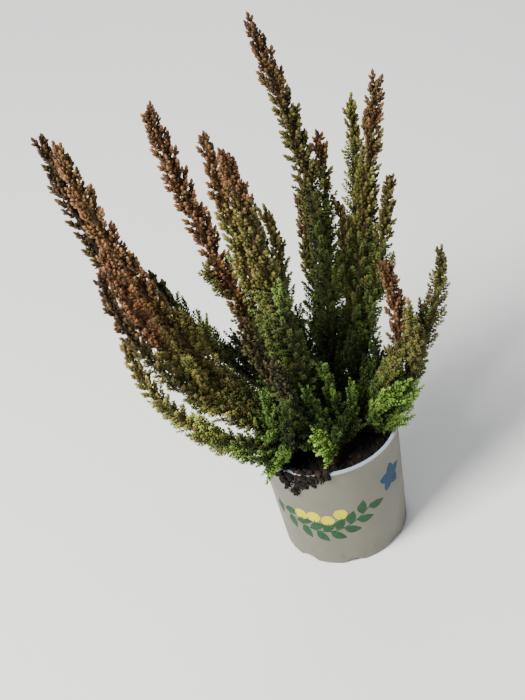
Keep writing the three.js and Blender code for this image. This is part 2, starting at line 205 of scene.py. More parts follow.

# Short sprigs that fill the middle of each plantlet: the tip, the tone and the lightness, partly own colour
# and partly painted light and shade
SPRIG_GIRTH = 5.0
SPRIG_MIDDLE = np.array([0.4, 0.4, 0.58])
SPRIGS = {
    "left": [
        ((-38, -20, 132), 0.56, 0.9), ((-20, -30, 128), 0.55, 0.9), ((-44, 0, 128), 0.5, 0.7),
        ((-32, -42, 117), 0.66, 1.1), ((-52, -30, 116), 0.7, 1.1), ((-40, -32, 126), 0.64, 1.1),
        ((-34, 12, 146), 0.5, 0.7), ((-16, -38, 116), 0.55, 0.7), ((-58, -18, 134), 0.5, 1.0),
        ((-54, 2, 146), 0.46, 0.9), ((-58, -14, 150), 0.34, 1.2), ((-64, -4, 154), 0.3, 1.2),
        ((-70, -13, 168), 0.3, 1.3), ((-66, -21, 161), 0.34, 1.3), ((-78, -8, 184), 0.28, 1.3),
        ((-72, -2, 178), 0.28, 1.3),
    ],
    "rear_left": [
        ((-26, 26, 132), 0.5, 0.6), ((-30, 10, 134), 0.5, 0.6), ((-14, 24, 138), 0.5, 0.6),
        ((-46, 30, 148), 0.5, 0.6), ((-38, 22, 152), 0.5, 0.6), ((-34, 40, 140), 0.5, 0.6),
        ((-56, 42, 150), 0.5, 0.6),
    ],
    "middle": [
        ((-12, -20, 136), 0.56, 0.9), ((2, 2, 140), 0.54, 0.8), ((-18, 8, 138), 0.5, 0.7),
        ((8, -14, 128), 0.56, 0.8), ((-14, -30, 124), 0.55, 0.7),
    ],
    "rear": [((0, 36, 134), 0.5, 0.7), ((18, 32, 138), 0.5, 0.7), ((4, 20, 140), 0.5, 0.7)],
    "rear_right": [((40, 14, 134), 0.52, 0.7), ((34, 28, 132), 0.5, 0.7), ((48, 24, 126), 0.5, 0.6)],
    "right": [
        ((41, -22, 122), 0.76, 1.1), ((49, -3, 128), 0.76, 1.1), ((36, 6, 136), 0.6, 0.8),
        ((45, -18, 130), 0.84, 1.4), ((55, -6, 118), 0.76, 1.0), ((60, -10, 124), 0.76, 1.2),
        ((58, -18, 119), 0.78, 1.2), ((50, -21, 125), 0.8, 1.2), ((56, -15, 132), 0.74, 1.2),
        ((34, -24, 114), 0.6, 0.9), ((44, -2, 128), 0.7, 0.9), ((55, -13, 150), 0.26, 1.4),
        ((62, -8, 157), 0.24, 1.4), ((50, -9, 146), 0.28, 1.3),
    ],
    "front": [
        ((-9, -39, 119), 0.84, 2.3), ((-6, -42, 111), 0.83, 2.0), ((-3, -42, 104), 0.82, 1.6),
        ((6, -38, 122), 0.56, 0.6), ((13, -31, 126), 0.56, 0.7), ((-8, -32, 132), 0.6, 0.8),
        ((-12, -30, 118), 0.55, 0.6), ((22, -28, 116), 0.56, 0.7),
    ],
}

# Side shoots along the lower half of every long shoot
SIDE_SHOOTS_FROM = 110.0
SIDE_GIRTH = 4.2
SIDE_FIRST = 0.14
SIDE_LAST = 0.52
SIDE_PITCHES = {"left": 30.0, "rear_right": 58.0}
SIDE_PITCH = 42.0
SIDE_LENGTHS = (26.0, 38.0)
SIDE_STEPS = np.array([[1.0], [1.25]])
SIDE_TONE_RISE = 0.12
# How much lighter or darker a side shoot is painted than its shoot, whose lightness is partly painted light
# and shade
SIDE_LIGHTNESS_AND_PAINTED_SHADE = (0.85, 1.2)

# Kinds of triangle by material. The peat has one material only.
LEAF, BUD, WOOD = 0, 1, 2
PEAT = 0


def unit(vectors):
    return vectors / np.linalg.norm(vectors, axis=-1, keepdims=True)


def blend(ends, share):
    """The value at a share of the way from the first end to the second."""
    return ends[0] + (ends[1] - ends[0]) * share


def quadratic(share, start, control, end):
    """The point at a share of a curve whose ends point at the control."""
    return (1 - share) ** 2 * start + 2 * share * (1 - share) * control + share ** 2 * end


def even_turns(count):
    return np.arange(count) * math.tau / count


def ring_points(radii, turns, heights):
    x, y, z = np.broadcast_arrays(radii * np.cos(turns), radii * np.sin(turns), heights)
    return np.stack([x, y, z], -1).reshape(-1, 3)


def closed_faces(rings, sides):
    """Triangles that close a stack of rings, with the points below and above it listed last."""
    below, above = rings * sides, rings * sides + 1
    top = below - sides
    faces = []
    for side in range(sides):
        following = (side + 1) % sides
        faces.append((below, following, side))
        faces.append((above, top + side, top + following))
        for low in range(0, top, sides):
            high = low + sides
            faces.append((low + side, low + following, high + following))
            faces.append((low + side, high + following, high + side))
    return np.array(faces)


def place_object(name, data):
    made = bpy.data.objects.new(name, data)
    bpy.context.scene.collection.objects.link(made)
    return made


class Bundle:
    """Points and triangles, with tones and shades of the points, that become one mesh."""

    def __init__(self):
        self.parts = []
        self.size = 0

    def add(self, points, faces, kinds, tones, shades):
        count = len(points)
        own_faces = np.asarray(faces, int) + self.size
        own_kinds = np.broadcast_to(kinds, len(faces))
        looks = [np.broadcast_to(values, count) for values in (tones, shades)]
        self.parts.append((np.asarray(points, float), own_faces, own_kinds, *looks))
        self.size += count

    def joined(self):
        return [np.concatenate(column) for column in zip(*self.parts)]

    def add_copies(self, pattern, places, axes, tones, shades):
        """Copies of a joined pattern; axes holds one 3 by 3 matrix for each, columns first."""
        points, faces, kinds, own_tones, own_shades = pattern
        count, size = len(places), len(points)
        follows = np.zeros(size)
        follows[faces[kinds != WOOD].ravel()] = 1
        spots = np.einsum("nij,vj->nvi", axes, points) + places[:, None]
        offsets = np.arange(count)[:, None, None] * size
        self.add(
            spots.reshape(-1, 3),
            (faces[None] + offsets).reshape(-1, 3),
            np.tile(kinds, count),
            (own_tones[None] + follows * tones[:, None]).ravel(),
            (own_shades[None] * shades[:, None]).ravel(),
        )

    def to_object(self, name, materials):
        points, faces, kinds, tones, shades = self.joined()
        mesh = bpy.data.meshes.new(name)
        mesh.vertices.add(len(points))
        mesh.vertices.foreach_set("co", (points * MM).astype(np.float32).ravel())
        mesh.loops.add(len(faces) * 3)
        mesh.loops.foreach_set("vertex_index", faces.astype(np.int32).ravel())
        mesh.polygons.add(len(faces))
        mesh.polygons.foreach_set("loop_start", np.arange(len(faces), dtype=np.int32) * 3)
        used = sorted(set(kinds.tolist()))
        mesh.polygons.foreach_set("material_index", np.searchsorted(used, kinds).astype(np.int32))
        mesh.polygons.foreach_set("use_smooth", np.ones(len(faces), bool))
        for attribute, values in (("tone", tones), ("shade", shades)):
            layer = mesh.attributes.new(attribute, "FLOAT", "POINT")
            layer.data.foreach_set("value", values.astype(np.float32))
        for kind in used:
            mesh.materials.append(materials[kind])
        mesh.update(calc_edges=True)
        mesh.validate()
        return place_object(name, mesh)


# Patterns: small shapes that are copied along the shoots. A seat is the place where a leaf or
# bud sits and the directions there: the twig runs along the third.

LEAF_FACES = np.array([(0, 1, 3), (0, 3, 2), (0, 2, 1), (1, 2, 3)])
LEAF_WIDEST = 0.44
LEAF_KEEL = 0.34
LEAF_TONES = np.array([-0.05, 0, 0, 0.08])
STALK_FACES = np.array(
    [(0, 2, 1), (3, 4, 5), (0, 1, 4), (0, 4, 3), (1, 2, 5), (1, 5, 4), (2, 0, 3), (2, 3, 5)]
)
STALK_RADIUS = 0.25
STALK_REACH = 0.92
STALK_SHADE = 0.8


def seat_along(length, bend, share):
    """The seat at a share of a twig that curves from +Z towards -X."""
    angle = bend * share
    place = np.array([-math.sin(angle / 2), 0, math.cos(angle / 2)]) * length * share
    return place, np.array(Matrix.Rotation(-angle, 3, "Y"))


def seat_on(seat, turn, tilt):
    """A seat tilted away from the axis of another and turned round it."""
    place, basis = seat
    spin = np.array(Matrix.Rotation(turn, 3, "Z"))
    return place, basis @ spin @ np.array(Matrix.Rotation(tilt, 3, "Y"))


def seated(points, seat):
    place, basis = seat
    return points @ basis.T + place


def crossed(level, start=0.0):
    """The turns of an opposite pair that crosses the pairs next to it."""
    return [start + level % 2 * math.pi / 2 + half for half in (0, math.pi)]


def leaf_points(length, width, keel):
    """A pointed scale leaf along +Z with its keel on the side of +X."""
    aside, widest = width / 2, length * LEAF_WIDEST
    return np.array([(keel, 0, 0), (0, aside, widest), (0, -aside, widest), (keel, 0, length)])


def add_leaf(bundle, length, width, seat, tone, shade):
    points = seated(leaf_points(length, width, width * LEAF_KEEL), seat)
    bundle.add(points, LEAF_FACES, LEAF, tone + LEAF_TONES, shade)


def add_stalk(bundle, length, bend, tone):
    points = []
    for share in (0, STALK_REACH):
        ring = ring_points(STALK_RADIUS * (1 - share / 2), even_turns(3), 0)
        points.extend(seated(ring, seat_along(length, bend, share)))
    bundle.add(points, STALK_FACES, WOOD, tone, STALK_SHADE)


TWIG_LENGTHS = (3.2, 4.6, 6.4, 8.4, 10.8)
TWIG_BEND = math.radians(16)
TWIG_WOOD_TONE = 0.4
LEAF_PAIR_PITCH = 1.35
LEAF_LENGTH = 3.2
LEAF_WIDTH = 2.0
LEAF_FADE = 0.25
LEAF_TILTS = (math.radians(54), math.radians(32))
# Painted shade along each twig: leaves darker near its foot, lighter out at its tip
LEAF_PAINTED_SHADES = (0.42, 1.08)
TIP_LEAF_LENGTH = 2.3
TIP_LEAF_WIDTH = 1.15
TIP_LEAF_TILT = math.radians(17)


def twig_pattern(length, rng):
    """A short side twig clothed in crossed pairs of scale leaves."""
    bundle = Bundle()
    add_stalk(bundle, length, TWIG_BEND, TWIG_WOOD_TONE)
    pairs = max(2, round(length / LEAF_PAIR_PITCH))
    for pair in range(pairs):
        share = (pair + 0.4) / pairs
        seat = seat_along(length, TWIG_BEND, share * 0.9)
        fade = 1 - LEAF_FADE * share
        for turn in crossed(pair, math.pi / 4):
            turn += rng.normal(0, 0.15)
            tilt = blend(LEAF_TILTS, share) + rng.normal(0, 0.09)
            size = LEAF_LENGTH * fade * rng.uniform(0.88, 1.12)
            shade = blend(LEAF_PAINTED_SHADES, share) * rng.uniform(0.8, 1.2)
            tone = rng.normal(0, 0.03)
            add_leaf(bundle, size, LEAF_WIDTH * fade, seat_on(seat, turn, tilt), tone, shade)
    # The tip tuft is painted lighter still, as the outer end of the twig's painted shade
    top = seat_along(length, TWIG_BEND, STALK_REACH)
    for turn in even_turns(4) + 0.3:
        seat = seat_on(top, turn, TIP_LEAF_TILT)
        add_leaf(bundle, TIP_LEAF_LENGTH, TIP_LEAF_WIDTH, seat, 0.05, 1.25)
    return bundle.joined()


RACEME_LENGTHS = (4.4, 6.4, 8.8, 11.4)
RACEME_BEND = math.radians(20)
RACEME_WOOD_TONE = 0.3
BUD_LENGTH = 4.1
BUD_WIDTH = 2.15
BUD_LEVEL_PITCH = 2.5
BUD_TILT = math.radians(33)
BUD_SIDES = 6
BUD_RING_HEIGHTS = np.array([[0.2], [0.62]])
BUD_RING_WIDTHS = np.array([[0.86], [0.94]])
BUD_LOBES = 0.1
BUD_TONE_RISE = 0.12
# Painted shade on the buds: each bud darker at its foot, and buds darker down a raceme toward its stalk
BUD_PAINTED_SHADES = (0.78, 1.04)
LEVEL_PAINTED_SHADES = (0.66, 1.04)
# Some buds, at random, are paler: partly their own paler sepals and partly painted highlights
PALE_BUD_SHARE = 0.1
PALE_BUD_AND_HIGHLIGHT_SHADE = 1.35
BRACT_SIZE = (2.3, 1.2, 0.4)
BRACT_TILT = math.radians(34)
SMALL_LEAF_SIZE = (2.2, 1.1, 0.4)
SMALL_LEAF_TILT = math.radians(42)
SMALL_LEAF_PITCH = 2.2


def bud_pattern(length, width):
    """A closed ovoid bud along +Z with blunt lobes."""
    turns = even_turns(BUD_SIDES)
    lobes = 1 + BUD_LOBES * np.cos(BUD_SIDES / 2 * turns)
    rings = ring_points(width / 2 * BUD_RING_WIDTHS * lobes, turns, BUD_RING_HEIGHTS * length)
    points = np.concatenate([rings, [(0, 0, 0), (0, 0, length)]])
    return points, closed_faces(len(BUD_RING_HEIGHTS), BUD_SIDES)


def add_bud(bundle, length, width, seat, turn, tilt, tone, shade, rng):
    points, faces = bud_pattern(length, width)
    if rng.uniform() < PALE_BUD_SHARE:
        shade *= PALE_BUD_AND_HIGHLIGHT_SHADE
    own_seat = seat_on(seat, turn, tilt)
    heights = points[:, 2] / length
    tones = tone + BUD_TONE_RISE * (heights - 0.5)
    bundle.add(seated(points, own_seat), faces, BUD, tones, shade * blend(BUD_PAINTED_SHADES, heights))
    # The bracts under each bud are painted darker, as shade
    for around in (turn, turn + math.pi):
        bract = seated(leaf_points(*BRACT_SIZE), seat_on(own_seat, around, BRACT_TILT))
        bundle.add(bract, LEAF_FACES, BUD, tone - 0.25, 0.8 * shade)


def raceme_pattern(length, rng):
    """A short side stalk with small leaves below and closed buds above."""
    bundle = Bundle()
    add_stalk(bundle, length - BUD_LENGTH * 0.6, RACEME_BEND, RACEME_WOOD_TONE)
    levels = max(0, round((length - BUD_LENGTH - 0.6) / BUD_LEVEL_PITCH))
    reach = max(length - BUD_LENGTH, 0.3)
    top = seat_along(reach, RACEME_BEND, 1.0)
    turn, tilt = rng.uniform(*ANY_TURN), rng.normal(0, 0.08)
    # The top bud is painted lighter, as the raceme's outer end
    add_bud(bundle, BUD_LENGTH, BUD_WIDTH, top, turn, tilt, 0.04, 1.15, rng)
    for level in range(levels):
        share = 1 - (level + 0.75) * BUD_LEVEL_PITCH / reach
        seat = seat_along(reach, RACEME_BEND, max(share, 0.06))
        for turn in crossed(level):
            turn += rng.normal(0, 0.2)
            tilt = BUD_TILT + rng.normal(0, 0.1)
            size = BUD_LENGTH * rng.uniform(0.78, 0.96)
            width = BUD_WIDTH * rng.uniform(0.84, 0.98)
            tone = rng.normal(0, 0.06)
            shade = blend(LEVEL_PAINTED_SHADES, max(share, 0))
            add_bud(bundle, size, width, seat, turn, tilt, tone, shade, rng)
    for pair in range(max(1, round(reach / SMALL_LEAF_PITCH))):
        seat = seat_along(reach, RACEME_BEND, 0.1 + 0.25 * pair)
        for turn in crossed(pair, math.pi / 4):
            leaf = seated(leaf_points(*SMALL_LEAF_SIZE), seat_on(seat, turn, SMALL_LEAF_TILT))
            bundle.add(leaf, LEAF_FACES, BUD, -0.3, 0.45)
    return bundle.joined()


PATTERN_VARIANTS = 3


def make_patterns(maker, lengths, rng):
    return {length: [maker(length, rng) for _ in range(PATTERN_VARIANTS)] for length in lengths}


# Shoots

LEAF_FULLNESS = 2.1
BUD_FULLNESS = 3.6
BUD_SWELL_LENGTH = 12.0
LEAF_CORE = 0.34
BUD_CORE = 0.24
CURVE_STEPS = 200
RIPENING = 0.3
UNRIPE_TONE = 0.05


def crown_point(plantlet):
    return np.array([*CROWNS[plantlet], CROWN_HEIGHT], float)


class Shoot:
    """A curved shoot from its plantlet's crown, or from a share of another shoot's curve."""

    def __init__(self, name, plantlet, origin, middle, tip, girth, leaf_tone, lightness_and_painted_shade, buds=(0, 0, 0)):
        self.name, self.plantlet = name, plantlet
        self.girth, self.leaf_tone, self.lightness_and_painted_shade = girth, leaf_tone, lightness_and_painted_shade
        bud_share, self.bud_tone, self.ripe = buds
        self.from_crown = origin is None
        if self.from_crown:
            self.start = crown_point(plantlet)
        else:
            parent, share = origin
            self.start = parent.curve(np.array([share]))[0]
        self.end = np.array(tip, float)
        through = np.array(middle, float)
        lower = np.linalg.norm(through - self.start)
        share = lower / (lower + np.linalg.norm(self.end - through))
        leftover = through - (1 - share) ** 2 * self.start - share ** 2 * self.end
        self.control = leftover / (2 * share * (1 - share))
        self.steps = np.linspace(0, 1, CURVE_STEPS + 1)
        gaps = np.linalg.norm(np.diff(self.curve(self.steps), axis=0), axis=1)
        self.marks = np.concatenate([[0], np.cumsum(gaps)])
        self.length = self.marks[-1]
        self.bud_start = self.length * (1 - bud_share)
        heading = math.atan2(self.end[1] - self.start[1], self.end[0] - self.start[0])
        self.sideways = np.array([-math.sin(heading), math.cos(heading), 0])

    def curve(self, shares):
        return quadratic(shares[:, None], self.start, self.control, self.end)

    def frames(self, distances):
        """Places on the axis, directions along it and two directions across it."""
        shares = np.interp(distances, self.marks, self.steps)
        lower = (1 - shares)[:, None] * (self.control - self.start)
        along = unit(lower + shares[:, None] * (self.end - self.control))
        first = unit(self.sideways - (along @ self.sideways)[:, None] * along)
        return self.curve(shares), along, first, np.cross(along, first)

    def radii(self, distances):
        """Radius of the body that the side twigs stand past at their tips."""
        left = self.length - distances
        body = TIP_RADIUS + (self.girth - TIP_RADIUS) * (1 - np.exp(-left / TAPER_LENGTH))
        if self.from_crown:
            taper = min(FOOT_TAPER_LENGTH, FOOT_TAPER_SHARE * self.length)
            share = np.clip((distances - BARE_FOOT) / taper, 0, 1)
            return np.minimum(body, blend((WOOD_RADIUS, body), share))
        return body * np.minimum(1, SIDE_START_SHARE + distances / SIDE_START_LENGTH)

    def reaches(self, distances):
        """Radius out to the tips of the side twigs."""
        swell = np.clip((distances - self.bud_start) / BUD_SWELL_LENGTH, 0, 1)
        return self.radii(distances) * (1 + blend((LEAF_FULLNESS, BUD_FULLNESS), swell) / self.girth)

    def stem_radii(self, distances):
        share = np.clip(distances / self.length, 0, 1)
        start = STEM_START if self.from_crown else SIDE_STEM_START
        return start * (1 - share) ** 0.8 + STEM_END

    def core_radii(self, distances):
        """Radius of the dense inside, painted dark as shade, that the side twigs stand out of."""
        share = np.where(distances < self.bud_start, LEAF_CORE, BUD_CORE)
        return np.maximum(self.stem_radii(distances), share * self.reaches(distances))

    def leaf_tones(self, distances):
        foot, reach = FOOT_TONES[self.plantlet]
        foot = max(foot, self.leaf_tone - FOOT_TONE_STEP)
        share = np.clip(distances / min(reach, self.length), 0, 1) if self.from_crown else 1
        return blend((foot, self.leaf_tone), share)

    def bud_tones(self, distances):
        share = (distances - self.bud_start) / (self.length - self.bud_start)
        ripeness = np.clip((share - 1 + self.ripe) / RIPENING, 0, 1)
        return blend((UNRIPE_TONE, self.bud_tone), ripeness)


STEM_SIDES = 7
STEM_STEP = 4.0
STEM_ROUGHNESS = (0.84, 1.16)
CORE_STEP = 2.4
CORE_ROUGHNESS = (0.62, 1.24)
# How dark the inside of a shoot is painted, as shade
CORE_PAINTED_SHADES = (0.08, 0.4)


def add_tube(bundle, kind, places, first, second, radii, tone, shades):
    turns = even_turns(STEM_SIDES)[None, :, None]
    across = first[:, None] * np.cos(turns) + second[:, None] * np.sin(turns)
    rings = (places[:, None] + across * radii[:, :, None]).reshape(-1, 3)
    points = np.concatenate([rings, places[:1], places[-1:]])
    bundle.add(points, closed_faces(len(places), STEM_SIDES), kind, tone, shades)


def add_stem(bundle, shoot, end, rng):
    count = max(3, int(end / STEM_STEP))
    distances = np.linspace(0, end, count)
    places, _, first, second = shoot.frames(distances)
    radii = shoot.stem_radii(distances)[:, None] * rng.uniform(*STEM_ROUGHNESS, (count, STEM_SIDES))
    add_tube(bundle, WOOD, places, first, second, radii, 0.35, 0.85)


def add_core(bundle, shoot, start, end, kind, tone, rng):
    """The inside of a shoot, painted dark as shade, rough like the leaves or buds that hide it."""
    count = max(4, int((end - start) / CORE_STEP))
    distances = np.linspace(start, end, count)
    places, _, first, second = shoot.frames(distances)
    radii = shoot.core_radii(distances)[:, None] * rng.uniform(*CORE_ROUGHNESS, (count, STEM_SIDES))
    shades = shoot.lightness_and_painted_shade * rng.uniform(*CORE_PAINTED_SHADES, count * STEM_SIDES + 2)
    add_tube(bundle, kind, places, first, second, radii, tone, shades)


def add_trunk(bundle, plantlet, rng):
    places = np.tile(crown_point(plantlet), (TRUNK_RINGS, 1))
    places[:, 2] = np.linspace(HOLE_FLOOR + 2 * GAP, CROWN_HEIGHT + 1, TRUNK_RINGS)
    first, second = np.tile([1.0, 0, 0], (TRUNK_RINGS, 1)), np.tile([0, 1.0, 0], (TRUNK_RINGS, 1))
    radii = TRUNK_RADIUS * rng.uniform(0.84, 1.06, (TRUNK_RINGS, STEM_SIDES))
    add_tube(bundle, WOOD, places, first, second, radii, 0.3, 0.7)


# Painted shade deep among the crowns: how dark it gets, and how far aside and how high above the crowns it
# fades out
DIMMEST = 0.26
DIM_REACH = 62.0
DIM_HEIGHT = 88.0
DIM_ASIDE_SHARE = 0.55

# Places painted with shade, or painted with light where the last value, the dim, is below 0.
# The first is the centre, and the second is how far the dim reaches.
PAINTED_SHADE_AND_LIGHT_SPOTS = [
    ((-40, 20, 146), 27, 0.68),
    ((-41, -3, 152), 19, 0.6),
    ((-14, -20, 118), 18, 0.68),
    ((34, 30, 136), 24, 0.68),
    ((-14, -14, 190), 42, 0.42),
    ((-66, -20, 163), 32, -0.55),
]


def painted_shade_at(places):
    """How light the leaves are painted: painted shade deep among the crowns, full outside and higher up, with
    painted shade and light at the listed spots.
    """
    aside = np.clip(np.hypot(places[:, 0], places[:, 1]) / DIM_REACH, 0, 1)
    above = np.clip((places[:, 2] - CROWN_HEIGHT) / DIM_HEIGHT, 0, 1)
    light = blend((DIMMEST, 1), np.clip(DIM_ASIDE_SHARE * aside + above, 0, 1))
    for centre, reach, dim in PAINTED_SHADE_AND_LIGHT_SPOTS:
        away = np.linalg.norm(places - np.array(centre), axis=1)
        light = light * (1 - dim * np.exp(-(away / reach) ** 2))
    return light


LEAF_SPACING = 1.0
LEAF_LEAN = (math.radians(22), math.radians(50))
BUD_SPACING = 1.25
BUD_LEAN = (math.radians(24), math.radians(50))
LEAN_LENGTH = 22.0
LEAN_TAKEN_UP = 0.12
ROOT_DEPTH = 0.7
SHORTEST_REACH = 1.2
TWIG_SCALES = (0.72, 1.2)
TONE_SPREAD = 0.045

# Some twigs stand out past the others and catch more light; these are also painted lighter, and the others
# painted darker
LONG_TWIG_SHARE = 0.35
LONG_STRETCH = (1.02, 1.24)
OTHER_STRETCH = (0.74, 0.98)
LONG_TWIG_PAINTED_LIGHT = 1.12
OTHER_TWIG_PAINTED_SHADE = 0.94
SHADE_RANGE = (0.8, 1.18)

# Painted shade: long shoots are painted darker at the tip, and short ones at the foot
TIP_PAINTED_SHADE = 0.46
TIP_PAINTED_SHADE_LENGTH = 44.0
SHORT_PAINTED_SHADES = (0.55, 1.2)


def place_twigs(bundle, shoot, start, end, spacing, patterns, lean_range, tone_at, rng):
    """Side twigs by the golden angle, each as long as the shoot's girth asks for."""
    count = max(1, int((end - start) / spacing))
    distances = start + (np.arange(count) + 0.5 + rng.uniform(-0.4, 0.4, count)) * spacing
    turns = GOLDEN_TURN * np.arange(count) + rng.normal(0, 0.3, count) + rng.uniform(*ANY_TURN)
    places, along, first, second = shoot.frames(distances)
    outward = np.cos(turns)[:, None] * first + np.sin(turns)[:, None] * second
    left = shoot.length - distances
    lean = blend(lean_range, 1 - np.exp(-left / LEAN_LENGTH)) + rng.normal(0, 0.09, count)
    roots = shoot.core_radii(distances) * ROOT_DEPTH
    long = rng.uniform(0, 1, count) < LONG_TWIG_SHARE
    stretch = np.where(long, rng.uniform(*LONG_STRETCH, count), rng.uniform(*OTHER_STRETCH, count))
    reach = np.maximum(shoot.reaches(distances) * stretch - roots, SHORTEST_REACH)
    wanted = reach / np.sin(lean - LEAN_TAKEN_UP)
    lengths = np.array(list(patterns))
    nearest = np.abs(np.log(wanted[:, None] / lengths[None])).argmin(1)
    scales = np.clip(wanted / lengths[nearest], *TWIG_SCALES)
    forward = np.cos(lean)[:, None] * along + np.sin(lean)[:, None] * outward
    under = np.cos(lean)[:, None] * outward - np.sin(lean)[:, None] * along
    axes = np.stack([under, np.cross(forward, under), forward], 2) * scales[:, None, None]
    spots = places + outward * roots[:, None]
    tones = tone_at(distances) + rng.normal(0, TONE_SPREAD, count)
    if shoot.length > SIDE_SHOOTS_FROM:
        painted_shade_along = 1 - TIP_PAINTED_SHADE * np.exp(-left / TIP_PAINTED_SHADE_LENGTH)
    else:
        painted_shade_along = blend(SHORT_PAINTED_SHADES, distances / shoot.length)
    twig_shade = np.where(long, LONG_TWIG_PAINTED_LIGHT, OTHER_TWIG_PAINTED_SHADE) * rng.uniform(*SHADE_RANGE, count)
    # Painted light and shade: the shoot's lightness, the dark among the crowns, along the shoot, and on long
    # and short twigs
    shades = shoot.lightness_and_painted_shade * painted_shade_at(places) * painted_shade_along * twig_shade
    variants = rng.integers(0, PATTERN_VARIANTS, count)
    for index, length in enumerate(lengths):
        for variant, pattern in enumerate(patterns[length]):
            chosen = (nearest == index) & (variants == variant)
            if chosen.any():
                bundle.add_copies(pattern, spots[chosen], axes[chosen], tones[chosen], shades[chosen])


def add_tip(bundle, shoot, pattern, depth, tone):
    """A pattern that points straight on, at a depth below the shoot's tip."""
    places, along, first, second = shoot.frames(np.array([shoot.length - depth]))
    axes = np.stack([first, second, along], 2)
    # The tip pattern is painted darker, as the tip of a long shoot
    shades = np.array([shoot.lightness_and_painted_shade * (1 - TIP_PAINTED_SHADE)])
    bundle.add_copies(pattern, places, axes, np.array([tone]), shades)


LEAFY_TIP_DEPTH = 3.4
SPIKE_TIP_DEPTH = 7.5
SPIKE_TIP_CLEAR = 5.0


def make_foliage(plantlet, shoots, twigs, materials, rng):
    bundle = Bundle()
    add_trunk(bundle, plantlet, rng)
    for shoot in shoots:
        end = min(shoot.bud_start, shoot.length - 1)
        start = BARE_FOOT / 2 if shoot.from_crown else 2
        if shoot.from_crown:
            add_stem(bundle, shoot, BARE_FOOT * 1.5, rng)
        add_core(bundle, shoot, start, end, LEAF, shoot.leaf_tone, rng)
        tones = shoot.leaf_tones
        place_twigs(bundle, shoot, start, end, LEAF_SPACING, twigs, LEAF_LEAN, tones, rng)
        if shoot.bud_start >= shoot.length:
            shortest = twigs[TWIG_LENGTHS[0]][0]
            add_tip(bundle, shoot, shortest, LEAFY_TIP_DEPTH, shoot.leaf_tone + 0.05)
    return bundle.to_object(f"foliage_{plantlet}", materials)


def make_spike(shoot, racemes, materials, rng):
    bundle = Bundle()
    start, end = shoot.bud_start + GAP, shoot.length - SPIKE_TIP_CLEAR
    add_core(bundle, shoot, start, shoot.length - 1, BUD, shoot.bud_tone, rng)
    place_twigs(bundle, shoot, start, end, BUD_SPACING, racemes, BUD_LEAN, shoot.bud_tones, rng)
    add_tip(bundle, shoot, racemes[RACEME_LENGTHS[0]][0], SPIKE_TIP_DEPTH, shoot.bud_tone)
    return bundle.to_object(f"spike_{shoot.name}", materials)


# Pot


def wall_radius(height):
    return FOOT_RADIUS + (RIM_RADIUS - LIP_REACH - FOOT_RADIUS) * height / POT_HEIGHT


def rounded(profile, radius):
    """A profile with every inner corner replaced by a short arc."""
    points = [np.array(point, float) for point in profile]
    smooth = [points[0]]
    for before, corner, after in zip(points, points[1:], points[2:]):
        back, ahead = np.linalg.norm(before - corner), np.linalg.norm(after - corner)
        reach = min(radius, back * 0.45, ahead * 0.45)
        enter = corner + (before - corner) / back * reach
        leave = corner + (after - corner) / ahead * reach
        for share in np.linspace(0, 1, EDGE_STEPS + 1):
            smooth.append(quadratic(share, enter, corner, leave))
    smooth.append(points[-1])
    return smooth


def pot_profile():
    lip_foot = POT_HEIGHT - LIP_HEIGHT
    roof = CHANNEL_HEIGHT + BASE_THICKNESS
    return [
        (0, 0),
        (BASE_FLAT_RADIUS, 0),
        (CHANNEL_INNER, CHANNEL_HEIGHT),
        (CHANNEL_OUTER, CHANNEL_HEIGHT),
        (FOOT_RADIUS - WALL, 0),
        (FOOT_RADIUS, 0),
        *[(wall_radius(height), height) for height in (4, ARCH_FADE, 30, 60, lip_foot)],
        (RIM_RADIUS, lip_foot + LIP_REACH),
        (RIM_RADIUS, POT_HEIGHT),
        *[(wall_radius(height) - WALL, height) for height in (POT_HEIGHT, 60, 30, 12, roof)],
        (CHANNEL_INNER - BASE_THICKNESS, roof),
        (BASE_FLAT_RADIUS - BASE_THICKNESS, BASE_THICKNESS),
        (0, BASE_THICKNESS),
    ]


def arch_height(turn):
    """How far a shallow arch lifts the foot ring's edge at an angle round the pot."""
    pitch = math.tau / ARCH_COUNT
    offset = (turn - math.pi / 2 + pitch / 2) % pitch - pitch / 2
    across = offset * FOOT_RADIUS / (ARCH_WIDTH / 2)
    return ARCH_HEIGHT * math.sqrt(max(0.0, 1 - across ** 2))


def arch_lift(radius, height, turn):
    """How far a point of the pot's profile is lifted at an angle round the pot."""
    if radius < CHANNEL_OUTER or height > ARCH_FADE:
        return 0
    share = (radius - CHANNEL_OUTER) / (FOOT_RADIUS - WALL - CHANNEL_OUTER)
    return arch_height(turn) * (1 - height / ARCH_FADE) * min(1, max(0, share))


def lathe_mesh(profile, sides):
    mesh = bmesh.new()
    rings = []
    for radius, height in profile:
        if radius == 0:
            rings.append([mesh.verts.new((0, 0, height))])
            continue
        ring = []
        for turn in even_turns(sides):
            raised = height + arch_lift(radius, height, turn)
            ring.append(mesh.verts.new((radius * math.cos(turn), radius * math.sin(turn), raised)))
        rings.append(ring)
    for low, high in zip(rings, rings[1:]):
        for side in range(sides):
            following = (side + 1) % sides
            corners = [low[side % len(low)], low[following % len(low)]]
            corners += [high[following % len(high)], high[side % len(high)]]
            mesh.faces.new(list(dict.fromkeys(corners)))
    bmesh.ops.recalc_face_normals(mesh, faces=mesh.faces)
    return mesh


def finish_mesh(mesh, name, material):
    bmesh.ops.scale(mesh, vec=(MM, MM, MM), verts=mesh.verts)
    data = bpy.data.meshes.new(name)
    mesh.to_mesh(data)
    mesh.free()
    data.shade_smooth()
    data.set_sharp_from_angle(angle=SHARP_ANGLE)
    data.materials.append(material)
    return place_object(name, data)


